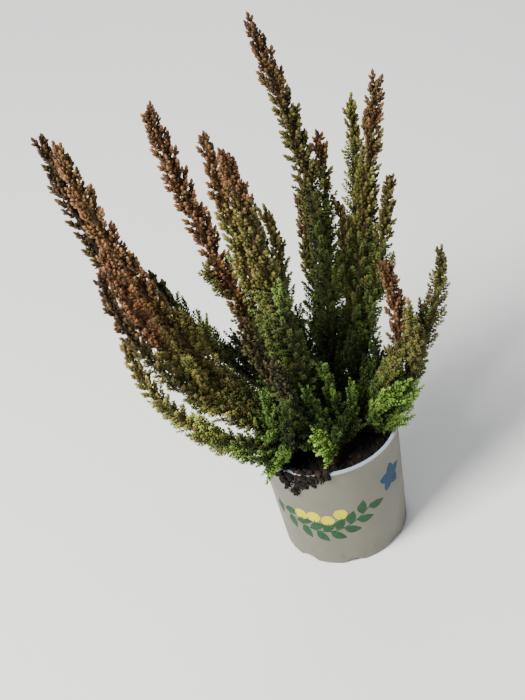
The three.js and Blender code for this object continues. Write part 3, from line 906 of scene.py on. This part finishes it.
def cut(piece, cutter):
    boolean = piece.modifiers.new("drain", "BOOLEAN")
    boolean.object = cutter
    boolean.solver = "EXACT"
    evaluated = piece.evaluated_get(bpy.context.evaluated_depsgraph_get())
    carved = bpy.data.meshes.new_from_object(evaluated)
    piece.modifiers.clear()
    piece.data = carved
    bpy.data.objects.remove(cutter)


def make_pot(material):
    shell = lathe_mesh(rounded(pot_profile(), EDGE_ROUND), POT_SIDES)
    pot = finish_mesh(shell, "pot_shell", material)
    holes = bmesh.new()
    size = {"radius1": DRAIN_RADIUS, "radius2": DRAIN_RADIUS, "depth": DRAIN_DEPTH}
    reach = (CHANNEL_INNER + CHANNEL_OUTER) / 2
    for place in ring_points(reach, even_turns(DRAIN_COUNT) + DRAIN_TURN, DRAIN_DEPTH / 2):
        spot = Matrix.Translation(place)
        bmesh.ops.create_cone(holes, cap_ends=True, segments=DRAIN_SIDES, matrix=spot, **size)
    cut(pot, finish_mesh(holes, "drain_cutter", material))
    return pot


# Print on the pot: thin patches of ink that follow the wall, each a grid of points
# along and across its own little outline

INK_LIFT = 0.1
INK_ROOT = 0.02
STRIP = 1.7


def wall_point(azimuth, height, lift):
    """A point on the wall. Azimuth 0 faces the front and grows to the right."""
    radius = wall_radius(height) + lift
    return (radius * math.sin(azimuth), -radius * math.cos(azimuth), height)


def add_patch(mesh, azimuth, height, heading, length, width, bow, outline):
    """A patch from a root point along a heading; outline gives its half width at a share."""
    rows = max(6, math.ceil(length / STRIP))
    columns = 2 * max(1, math.ceil(width / STRIP / 2))
    radius = wall_radius(height)
    layers = []
    for lift in (INK_LIFT, INK_ROOT):
        grid = {}
        for row in range(rows + 1):
            share = row / rows
            ahead = length * share
            for column in range(columns + 1):
                side = 2 * column / columns - 1
                aside = bow * math.sin(math.pi * share) + side * width / 2 * outline(share)
                right = ahead * math.cos(heading) - aside * math.sin(heading)
                up = ahead * math.sin(heading) + aside * math.cos(heading)
                spot = wall_point(azimuth + right / radius, height + up, lift)
                grid[row, column] = mesh.verts.new(spot)
        layers.append(grid)
    top, root = layers
    for row in range(rows):
        for column in range(columns):
            corners = [(row, column), (row + 1, column), (row + 1, column + 1), (row, column + 1)]
            mesh.faces.new([top[corner] for corner in corners])
            mesh.faces.new([root[corner] for corner in reversed(corners)])
    rim = [(row, 0) for row in range(rows)]
    rim += [(rows, column) for column in range(columns)]
    rim += [(row, columns) for row in range(rows, 0, -1)]
    rim += [(0, column) for column in range(columns, 0, -1)]
    for corner, following in zip(rim, rim[1:] + rim[:1]):
        mesh.faces.new((top[corner], root[corner], root[following], top[following]))


def leaf_outline(share):
    return max(0.04, math.sin(math.pi * share) ** 0.85 * (1.15 - 0.35 * share))


def round_outline(share):
    return max(0.04, math.sqrt(max(0.0, 1 - (2 * share - 1) ** 2)))


def line_outline(share):
    return 0.5 + 0.5 * math.sin(math.pi * share)


# The garland sags between its two ends
GARLAND_LEFT = math.radians(-66)
GARLAND_RIGHT = math.radians(25)
GARLAND_TOP = 56.0
GARLAND_SAG = 20.0
GARLAND_MIDDLE = 45.0
GARLAND_STEPS = 24
GARLAND_STEP_LENGTH = 3.8
GARLAND_LINE = 1.0
GARLAND_LEAVES = 15
GARLAND_LEAF_TURN = math.radians(44)
GARLAND_LEAF_LENGTH = 13.5
GARLAND_LEAF_WIDTH = 7.6
GARLAND_LEAF_BOW = 0.9
GARLAND_BUD_SHARES = (0.29, 0.42, 0.55, 0.68)
GARLAND_BUD_RISES = (12.0, 15.0)
GARLAND_BUD_SIZE = 10.4
GARLAND_STALK_WIDTH = 0.9
UPWARDS = math.radians(90)


def garland_point(share):
    height = GARLAND_TOP - GARLAND_SAG * math.sin(math.pi * share) ** 0.9
    return blend((GARLAND_LEFT, GARLAND_RIGHT), share), height


def garland_heading(share):
    early, late = garland_point(max(0, share - 0.02)), garland_point(min(1, share + 0.02))
    return math.atan2(late[1] - early[1], (late[0] - early[0]) * wall_radius(GARLAND_MIDDLE))


def make_garland(green, yellow):
    leaves, buds = bmesh.new(), bmesh.new()
    for index in range(GARLAND_STEPS):
        place = garland_point(index / GARLAND_STEPS)
        heading = garland_heading((index + 0.5) / GARLAND_STEPS)
        add_patch(leaves, *place, heading, GARLAND_STEP_LENGTH, GARLAND_LINE, 0, line_outline)
    for index in range(GARLAND_LEAVES):
        share = (index + 0.3) / GARLAND_LEAVES
        side = 1 if index % 2 else -1
        heading = garland_heading(share) + side * GARLAND_LEAF_TURN
        size = (GARLAND_LEAF_LENGTH, GARLAND_LEAF_WIDTH, side * GARLAND_LEAF_BOW)
        add_patch(leaves, *garland_point(share), heading, *size, leaf_outline)
    for index, share in enumerate(GARLAND_BUD_SHARES):
        azimuth, height = garland_point(share)
        rise = GARLAND_BUD_RISES[index % 2]
        left = azimuth - GARLAND_BUD_SIZE / 2 / wall_radius(height)
        size = (GARLAND_BUD_SIZE, GARLAND_BUD_SIZE, 0)
        add_patch(buds, left, height + rise, 0, *size, round_outline)
        stalk = (rise - 3, GARLAND_STALK_WIDTH, 0.5)
        add_patch(leaves, azimuth, height, UPWARDS, *stalk, line_outline)
    return finish_mesh(leaves, "print_leaves", green), finish_mesh(buds, "print_buds", yellow)


# A flower on the right side of the pot
MARK_PETALS = 5
MARK_AZIMUTH = math.radians(49)
MARK_HEIGHT = 66.0
MARK_PETAL_LENGTH = 12.5
MARK_PETAL_WIDTH = 9.0


def make_side_mark(blue):
    patch = bmesh.new()
    size = (MARK_PETAL_LENGTH, MARK_PETAL_WIDTH, 0)
    for turn in even_turns(MARK_PETALS):
        add_patch(patch, MARK_AZIMUTH, MARK_HEIGHT, UPWARDS + turn, *size, leaf_outline)
    return finish_mesh(patch, "print_side_mark", blue)


# Peat

PEAT_RINGS = 52
PEAT_SIDES = 168
PEAT_EDGE_DROP = 0.6
COLLAR_HEIGHT = 1.1
COLLAR_RADIUS = 4.4
COLLAR_WIDTH = 1.8
DIMPLE_RADIUS = 3.4
DIMPLE_DEPTH = 2.5

# Sine waves that make the peat crumbly: pitch, heading and phase
CRUMBLE_WAVES = [
    (5.1, 0.4, 0.2), (3.7, 1.9, 1.3), (2.9, 2.8, 2.9), (2.1, 0.9, 4.1), (1.7, 2.3, 0.7), (1.3, 1.2, 5.2)
]
CRUMBLE_HEIGHT = 0.36
CRUMBLE_WANDER = 1.3


def peat_height(x, y):
    broad = np.sin(x * 0.21 + 0.8) * np.cos(y * 0.17 - 0.4)
    fine = np.sin(x * 0.53 - y * 0.47) * np.sin(y * 0.61 + x * 0.29 + 1.1)
    return PEAT_TOP + PEAT_LUMP * (0.5 * broad + 0.6 * fine)


def crumbly(x, y):
    """Fine relief from sine waves at several sizes and headings."""
    total = np.zeros_like(x)
    for index, (pitch, heading, phase) in enumerate(CRUMBLE_WAVES):
        across = x * math.cos(heading) + y * math.sin(heading)
        aside = y * math.cos(heading) - x * math.sin(heading)
        wander = phase + CRUMBLE_WANDER * np.sin(aside / pitch)
        total += np.sin(across * math.tau / pitch + wander) / (1.5 + index * 0.5)
    return total * CRUMBLE_HEIGHT


def add_peat_body(bundle):
    """The peat from the middle of its top outward and down to its floor, collared at each foot."""
    turns = even_turns(PEAT_SIDES)
    top_radius, floor_radius = [wall_radius(z) - WALL - PEAT_PLAY for z in (PEAT_TOP, PEAT_FLOOR)]
    radii = top_radius * np.linspace(1 / PEAT_RINGS, 1, PEAT_RINGS)[:, None]
    x, y = radii * np.cos(turns), radii * np.sin(turns)
    z = peat_height(x, y) + crumbly(x, y)
    z[-1] = PEAT_TOP - PEAT_EDGE_DROP
    for crown_x, crown_y in CROWNS.values():
        near = np.hypot(x - crown_x, y - crown_y)
        z += COLLAR_HEIGHT * np.exp(-(((near - COLLAR_RADIUS) / COLLAR_WIDTH) ** 2))
        z = np.where(near < DIMPLE_RADIUS, PEAT_TOP - DIMPLE_DEPTH, z)
    ends = [(0, 0, z[0].mean()), (0, 0, PEAT_FLOOR)]
    floor = ring_points(floor_radius, turns, PEAT_FLOOR)
    points = np.concatenate([ring_points(radii, turns, z), floor, ends])
    bundle.add(points, closed_faces(PEAT_RINGS + 1, PEAT_SIDES)[:, ::-1], PEAT, 0.3, 1.0)


def ball_pattern(detail):
    ball = bmesh.new()
    bmesh.ops.create_icosphere(ball, subdivisions=detail, radius=1)
    ball.verts.ensure_lookup_table()
    points = np.array([vertex.co for vertex in ball.verts])
    faces = np.array([[vertex.index for vertex in face.verts] for face in ball.faces])
    ball.free()
    return points, faces


FINE_CRUMB_FROM = 1.9
CRUMB_STRETCH = (0.62, 1.25)
CRUMB_DENT = 0.2


def add_crumbs(bundle, places, sizes, tones, rng):
    fine, coarse = ball_pattern(2), ball_pattern(1)
    for place, size, tone in zip(places, sizes, tones):
        points, faces = fine if size > FINE_CRUMB_FROM else coarse
        stretch = rng.uniform(*CRUMB_STRETCH, 3)
        waves = np.sin(points @ rng.normal(0, 2.6, (3, 3)) + rng.uniform(*ANY_TURN, 3))
        dents = 1 + CRUMB_DENT * waves.sum(1) / 1.7
        spin = np.array(Matrix.Rotation(rng.uniform(*WHOLE_TURN), 3, Vector(rng.normal(0, 1, 3))))
        spots = (points * dents[:, None] * stretch) @ spin.T * size / 2 + place
        bundle.add(spots, faces, PEAT, tone, 1.0)


FIBRE_COUNT = 70
FIBRE_POINTS = 5
FIBRE_REACH = 46.0
FIBRE_LENGTHS = (3, 9)
FIBRE_RADII = (0.12, 0.3)


def add_fibres(bundle, rng):
    shares = np.linspace(-0.5, 0.5, FIBRE_POINTS)
    for _ in range(FIBRE_COUNT):
        radius, turn = FIBRE_REACH * math.sqrt(rng.uniform()), rng.uniform(0, math.tau)
        heading, length = rng.uniform(*WHOLE_TURN), rng.uniform(*FIBRE_LENGTHS)
        x = radius * math.cos(turn) + shares * length * math.cos(heading)
        y = radius * math.sin(turn) + shares * length * math.sin(heading) + 0.8 * np.cos(shares * 4)
        z = peat_height(x, y) + 0.9 + 0.8 * np.cos(shares * 3) * rng.uniform(0.2, 1)
        first = np.tile([-math.sin(heading), math.cos(heading), 0], (FIBRE_POINTS, 1))
        second = np.tile([0, 0, 1.0], (FIBRE_POINTS, 1))
        radii = np.full((FIBRE_POINTS, STEM_SIDES), rng.uniform(*FIBRE_RADII))
        tone = rng.uniform(0.6, 1.0)
        add_tube(bundle, PEAT, np.stack([x, y, z], 1), first, second, radii, tone, 1.0)


# Peat that has spilt over the front of the rim: azimuths, heights, and the tongues of its lower
# edge with azimuth, depth and width
SPILL_LEFT = math.radians(-58)
SPILL_RIGHT = math.radians(-6)
SPILL_EDGE = 96.0
SPILL_TOP = 100.5
SPILL_TONGUES = [
    (math.radians(-40), 24, math.radians(13)),
    (math.radians(-18), 10, math.radians(10)),
]
SPILL_CRUMBS = 520
RIM_INNER = 46.0


def spill_floor(azimuth):
    """Height of the spilt peat's lower edge on the pot's wall."""
    drops = [depth * math.exp(-(((azimuth - at) / width) ** 2)) for at, depth, width in SPILL_TONGUES]
    return SPILL_EDGE - sum(drops)


def add_spill(bundle, rng):
    places, sizes, tones = [], [], []
    for _ in range(SPILL_CRUMBS):
        azimuth = rng.uniform(SPILL_LEFT, SPILL_RIGHT)
        low = spill_floor(azimuth)
        height = low + (SPILL_TOP - low) * rng.uniform() ** 0.8
        share = (height - low) / (SPILL_TOP - low + 0.1)
        size = (1.0 + 3.6 * rng.uniform() ** 1.7) * (0.7 + 0.3 * share)
        if height > POT_HEIGHT - 0.5:
            radius = rng.uniform(RIM_INNER, RIM_RADIUS + 1.2)
            slope = max(0, 50.5 - radius) * 0.9
            height = POT_HEIGHT + size * 0.3 + rng.uniform(0, 1.4) - slope
        else:
            outer = RIM_RADIUS if height > POT_HEIGHT - LIP_HEIGHT else wall_radius(height)
            radius = outer + size * 0.22 + rng.uniform(0, 2.6) * (height - low) / 26
        places.append((radius * math.sin(azimuth), -radius * math.cos(azimuth), height))
        sizes.append(size)
        tones.append(rng.uniform(0.15, 0.7))
    add_crumbs(bundle, np.array(places), sizes, tones, rng)


SURFACE_CRUMBS = 620
SURFACE_RADIUS = 49.2


def make_peat(material, rng):
    bundle = Bundle()
    add_peat_body(bundle)
    radius = SURFACE_RADIUS * np.sqrt(rng.uniform(0, 1, SURFACE_CRUMBS))
    turn = rng.uniform(0, math.tau, SURFACE_CRUMBS)
    x, y = radius * np.cos(turn), radius * np.sin(turn)
    sizes = 0.9 + 3.4 * rng.uniform(0, 1, SURFACE_CRUMBS) ** 2.6
    z = peat_height(x, y) + sizes * 0.18 + np.maximum(0, radius - RIM_INNER) * 0.5
    tones = rng.uniform(0, 0.7, SURFACE_CRUMBS)
    add_crumbs(bundle, np.stack([x, y, z], 1), sizes, tones, rng)
    add_fibres(bundle, rng)
    add_spill(bundle, rng)
    return bundle.to_object("peat_fill", [material])


# Materials


class Recipe:
    """A material's node tree with its Principled shader."""

    def __init__(self, name, sheen=0.5):
        self.material = bpy.data.materials.new(name)
        self.material.use_nodes = True
        self.tree = self.material.node_tree
        self.inputs = self.tree.nodes["Principled BSDF"].inputs
        self.inputs["Specular IOR Level"].default_value = sheen
        self.where = self.node("ShaderNodeTexCoord").outputs["Object"]

    def node(self, kind, **settings):
        made = self.tree.nodes.new(kind)
        for key, value in settings.items():
            setattr(made, key, value)
        return made

    def link(self, output, target):
        self.tree.links.new(output, target)

    def attribute(self, name):
        return self.node("ShaderNodeAttribute", attribute_name=name).outputs["Fac"]

    def noise(self, scale, detail=3.0, roughness=0.55):
        made = self.node("ShaderNodeTexNoise")
        self.link(self.where, made.inputs["Vector"])
        for key, number in (("Scale", scale), ("Detail", detail), ("Roughness", roughness)):
            made.inputs[key].default_value = number
        return made.outputs["Fac"]

    def math(self, operation, first, second, clamp=False):
        made = self.node("ShaderNodeMath", operation=operation, use_clamp=clamp)
        self.link(first, made.inputs[0])
        self.link(second, made.inputs[1])
        return made.outputs[0]

    def remap(self, value, new_low, new_high, low=0.3, high=0.7):
        made = self.node("ShaderNodeMapRange")
        self.link(value, made.inputs["Value"])
        for key, number in (("From Min", low), ("From Max", high), ("To Min", new_low), ("To Max", new_high)):
            made.inputs[key].default_value = number
        return made.outputs["Result"]

    def ramp(self, value, stops):
        made = self.node("ShaderNodeValToRGB")
        self.link(value, made.inputs["Fac"])
        elements = made.color_ramp.elements
        while len(elements) < len(stops):
            elements.new(1.0)
        for element, (place, colour) in zip(elements, stops):
            element.position = place
            element.color = (*colour, 1)
        return made.outputs["Color"]

    def mix(self, share, first, colour):
        made = self.node("ShaderNodeMix", data_type="RGBA")
        self.link(share, made.inputs[0])
        self.link(first, made.inputs[6])
        made.inputs[7].default_value = (*colour, 1)
        return made.outputs[2]

    def scaled(self, colour, factor):
        made = self.node("ShaderNodeVectorMath", operation="SCALE")
        self.link(colour, made.inputs[0])
        self.link(factor, made.inputs["Scale"])
        return made.outputs[0]

    def bump(self, height, strength, distance):
        made = self.node("ShaderNodeBump")
        made.inputs["Strength"].default_value = strength
        made.inputs["Distance"].default_value = distance
        self.link(height, made.inputs["Height"])
        self.link(made.outputs["Normal"], self.inputs["Normal"])

    def finish(self, colour, roughness):
        self.link(colour, self.inputs["Base Color"])
        self.link(roughness, self.inputs["Roughness"])
        return self.material


LEAF_STOPS = [
    (0.0, (0.176, 0.112, 0.042)),
    (0.3, (0.136, 0.126, 0.032)),
    (0.52, (0.072, 0.124, 0.025)),
    (0.78, (0.150, 0.275, 0.040)),
    (1.0, (0.34, 0.54, 0.09)),
]
BUD_STOPS = [
    (0.0, (0.072, 0.071, 0.013)),
    (0.3, (0.090, 0.062, 0.017)),
    (0.55, (0.102, 0.048, 0.017)),
    (0.75, (0.126, 0.054, 0.024)),
    (0.9, (0.22, 0.10, 0.065)),
    (1.0, (0.38, 0.12, 0.13)),
]
WOOD_STOPS = [(0.0, (0.010, 0.006, 0.004)), (0.5, (0.045, 0.026, 0.015)), (1.0, (0.11, 0.07, 0.04))]
PEAT_STOPS = [
    (0.0, (0.0022, 0.0018, 0.0016)),
    (0.4, (0.006, 0.0042, 0.0032)),
    (0.75, (0.026, 0.014, 0.008)),
    (1.0, (0.12, 0.07, 0.04)),
]
POT_STOPS = [(0.3, (0.140, 0.134, 0.104)), (0.7, (0.172, 0.165, 0.130))]
LIP_COLOUR = (0.33, 0.38, 0.44)
DIRT_COLOUR = (0.085, 0.066, 0.048)
FLOOR_STOPS = [(0.3, (0.88, 0.88, 0.87)), (0.7, (0.91, 0.91, 0.90))]

# Heights on the pot, in metres: where the pale lip begins, and how far up the dirt reaches
LIP_EDGE = (0.0966, 0.0972)
DIRT_TOP = 0.022


def plant_material(name, stops, roughness, grain):
    recipe = Recipe(name, 0.22)
    drift = recipe.remap(recipe.noise(140), -0.07, 0.07)
    tone = recipe.math("ADD", recipe.attribute("tone"), drift, clamp=True)
    speckle = recipe.remap(recipe.noise(grain, 2.0), 0.78, 1.22)
    shade = recipe.math("MULTIPLY", recipe.attribute("shade"), speckle)
    recipe.bump(recipe.noise(grain * 1.6, 2.0), 0.25, 0.0002)
    rough = recipe.remap(recipe.noise(grain * 0.6), roughness - 0.1, roughness + 0.1)
    return recipe.finish(recipe.scaled(recipe.ramp(tone, stops), shade), rough)


def peat_material():
    recipe = Recipe("moist_peat", 0.2)
    drift = recipe.remap(recipe.noise(420, 4.0), -0.2, 0.25)
    tone = recipe.math("ADD", recipe.attribute("tone"), drift, clamp=True)
    recipe.bump(recipe.noise(1300, 5.0, 0.7), 0.8, 0.0005)
    rough = recipe.remap(recipe.noise(500), 0.62, 0.95, 0.35, 0.65)
    return recipe.finish(recipe.ramp(tone, PEAT_STOPS), rough)


def pot_material():
    recipe = Recipe("grey_pot_plastic", 0.35)
    split = recipe.node("ShaderNodeSeparateXYZ")
    recipe.link(recipe.where, split.inputs[0])
    height = split.outputs["Z"]
    body = recipe.ramp(recipe.noise(22, 4.0, 0.6), POT_STOPS)
    colour = recipe.mix(recipe.remap(height, 0.0, 1.0, *LIP_EDGE), body, LIP_COLOUR)
    low = recipe.remap(height, 0.85, 0.0, 0.0, DIRT_TOP)
    patches = recipe.remap(recipe.noise(90, 5.0, 0.65), 0.0, 1.0, 0.5, 0.72)
    colour = recipe.mix(recipe.math("MULTIPLY", patches, low, clamp=True), colour, DIRT_COLOUR)
    recipe.bump(recipe.noise(2400, 2.0), 0.12, 0.0002)
    return recipe.finish(colour, recipe.remap(recipe.noise(60, 4.0), 0.44, 0.62))


def ink_material(name, light, dark):
    recipe = Recipe(name, 0.2)
    colour = recipe.ramp(recipe.noise(160, 4.0, 0.65), [(0.35, dark), (0.6, light)])
    return recipe.finish(colour, recipe.remap(recipe.noise(700), 0.5, 0.7))


def floor_material():
    recipe = Recipe("pale_floor")
    recipe.inputs["Roughness"].default_value = 0.7
    recipe.link(recipe.ramp(recipe.noise(2.5), FLOOR_STOPS), recipe.inputs["Base Color"])
    return recipe.material


# Stage, light and camera, in metres

FLOOR_REACH = 4.0
LAMP_TARGET = (-0.02, 0.02, 0.18)
LAMPS = [
    ("key_light", (-1.10, -0.78, 1.80), 0.85, 104, (1.0, 0.98, 0.94)),
    ("fill_light", (-0.5, -1.6, 0.9), 1.2, 4, (0.97, 0.98, 1.0)),
    ("back_light", (0.0, 1.5, 1.6), 1.2, 12, (1.0, 1.0, 1.0)),
]
WORLD_COLOUR = (0.92, 0.95, 1.0)
WORLD_STRENGTH = 0.38
CAMERA_PLACE = (0.0, -0.905, 0.924)
CAMERA_TARGET = (-0.032, 0.006, 0.172)
CAMERA_ROLL = math.radians(-13.5)
CAMERA_LENS_MM = 88
CAMERA_SENSOR_MM = 36


def make_floor():
    data = bpy.data.meshes.new("floor")
    corners = [(x * FLOOR_REACH, y * FLOOR_REACH, 0) for x, y in ((-1, -1), (1, -1), (1, 1), (-1, 1))]
    data.from_pydata(corners, [], [(0, 1, 2, 3)])
    data.materials.append(floor_material())
    floor = place_object("floor", data)


def aim(thing, target, roll=0.0):
    direction = Vector(target) - thing.location
    thing.rotation_mode = "QUATERNION"
    turned = direction.to_track_quat("-Z", "Y").to_matrix() @ Matrix.Rotation(roll, 3, "Z")
    thing.rotation_quaternion = turned.to_quaternion()


def light_stage():
    for name, place, size, power, colour in LAMPS:
        data = bpy.data.lights.new(name, "AREA")
        data.size = size
        data.energy = power
        data.color = colour
        lamp = place_object(name, data)
        lamp.location = place
        aim(lamp, LAMP_TARGET)
    world = bpy.data.worlds.new("pale_world")
    world.use_nodes = True
    background = world.node_tree.nodes["Background"]
    background.inputs["Color"].default_value = (*WORLD_COLOUR, 1)
    background.inputs["Strength"].default_value = WORLD_STRENGTH
    bpy.context.scene.world = world


def add_camera():
    data = bpy.data.cameras.new("photo_camera")
    data.lens = CAMERA_LENS_MM
    data.sensor_width = CAMERA_SENSOR_MM
    camera = place_object("photo_camera", data)
    camera.location = CAMERA_PLACE
    aim(camera, CAMERA_TARGET, CAMERA_ROLL)
    bpy.context.scene.camera = camera


# Assembly


def hand_in(piece, slot, *nodes):
    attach(piece, "root")
    if nodes:
        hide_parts(*nodes)


def sprig(plantlet, tip, tone, lightness_and_painted_shade):
    """A short sprig that rises from its crown and then leans out."""
    crown = crown_point(plantlet)
    middle = crown + SPRIG_MIDDLE * (np.array(tip) - crown)
    return Shoot("sprig", plantlet, None, middle, tip, SPRIG_GIRTH, tone, lightness_and_painted_shade)


def side_shoots(shoot, rng):
    """Short side shoots along the lower half of a long shoot."""
    made = []
    turn = rng.uniform(*ANY_TURN)
    pitch = SIDE_PITCHES.get(shoot.plantlet, SIDE_PITCH) / shoot.length
    for share in np.arange(SIDE_FIRST, SIDE_LAST, pitch):
        turn += GOLDEN_TURN
        length = rng.uniform(*SIDE_LENGTHS)
        ends = share * shoot.length + np.array([0.5, 1]) * length
        places, _, first, second = shoot.frames(ends)
        outward = math.cos(turn) * first + math.sin(turn) * second
        middle, tip = places + outward * shoot.radii(ends)[:, None] * SIDE_STEPS
        tone = shoot.leaf_tone + rng.uniform(0, SIDE_TONE_RISE)
        lightness_and_painted_shade = shoot.lightness_and_painted_shade * rng.uniform(*SIDE_LIGHTNESS_AND_PAINTED_SHADE)
        origin = (shoot, share)
        made.append(Shoot("side", shoot.plantlet, origin, middle, tip, SIDE_GIRTH, tone, lightness_and_painted_shade))
    return made


def grow_shoots(rng):
    """The named shoots, then the sprigs, then the side shoots of the long ones."""
    named = {}
    for plantlet, rows in SHOOTS.items():
        for own_name, *looks in rows:
            name = f"{plantlet}_{own_name}"
            origin = None
            if name in BRANCHES:
                parent, share = BRANCHES[name]
                origin = (named[parent], share)
            named[name] = Shoot(name, plantlet, origin, *looks)
    shoots = list(named.values())
    for plantlet, rows in SPRIGS.items():
        shoots += [sprig(plantlet, *row) for row in rows]
    for shoot in list(shoots):
        if shoot.from_crown and shoot.length > SIDE_SHOOTS_FROM:
            shoots += side_shoots(shoot, rng)
    return shoots


def make_plant(rng):
    materials = [
        plant_material("scale_leaves", LEAF_STOPS, 0.55, 700),
        plant_material("closed_buds", BUD_STOPS, 0.45, 900),
        plant_material("woody_stems", WOOD_STOPS, 0.8, 500),
    ]
    twigs = make_patterns(twig_pattern, TWIG_LENGTHS, rng)
    racemes = make_patterns(raceme_pattern, RACEME_LENGTHS, rng)
    shoots = grow_shoots(rng)
    for plantlet in CROWNS:
        own = [shoot for shoot in shoots if shoot.plantlet == plantlet]
        foliage = make_foliage(plantlet, own, twigs, materials, rng)
        slot = "bright_leaves" if plantlet in BRIGHT_PLANTLETS else "dark_leaves"
        hand_in(foliage, slot, f"leaves_{plantlet}")
    for shoot in shoots:
        if shoot.bud_start < shoot.length:
            hand_in(make_spike(shoot, racemes, materials, rng), "buds", f"buds_{shoot.name}")


def main():
    rng = np.random.default_rng(SEED)
    add_camera()
    light_stage()
    make_floor()
    hand_in(make_pot(pot_material()), "pot_plastic", "pot")
    green = ink_material("green_ink", (0.020, 0.076, 0.028), (0.014, 0.055, 0.020))
    yellow = ink_material("yellow_ink", (0.64, 0.60, 0.004), (0.54, 0.49, 0.003))
    blue = ink_material("blue_ink", (0.004, 0.052, 0.110), (0.003, 0.034, 0.075))
    for piece in (*make_garland(green, yellow), make_side_mark(blue)):
        hand_in(piece, "pot_plastic")
    hand_in(make_peat(peat_material(), rng), "peat", "peat")
    make_plant(rng)


main()
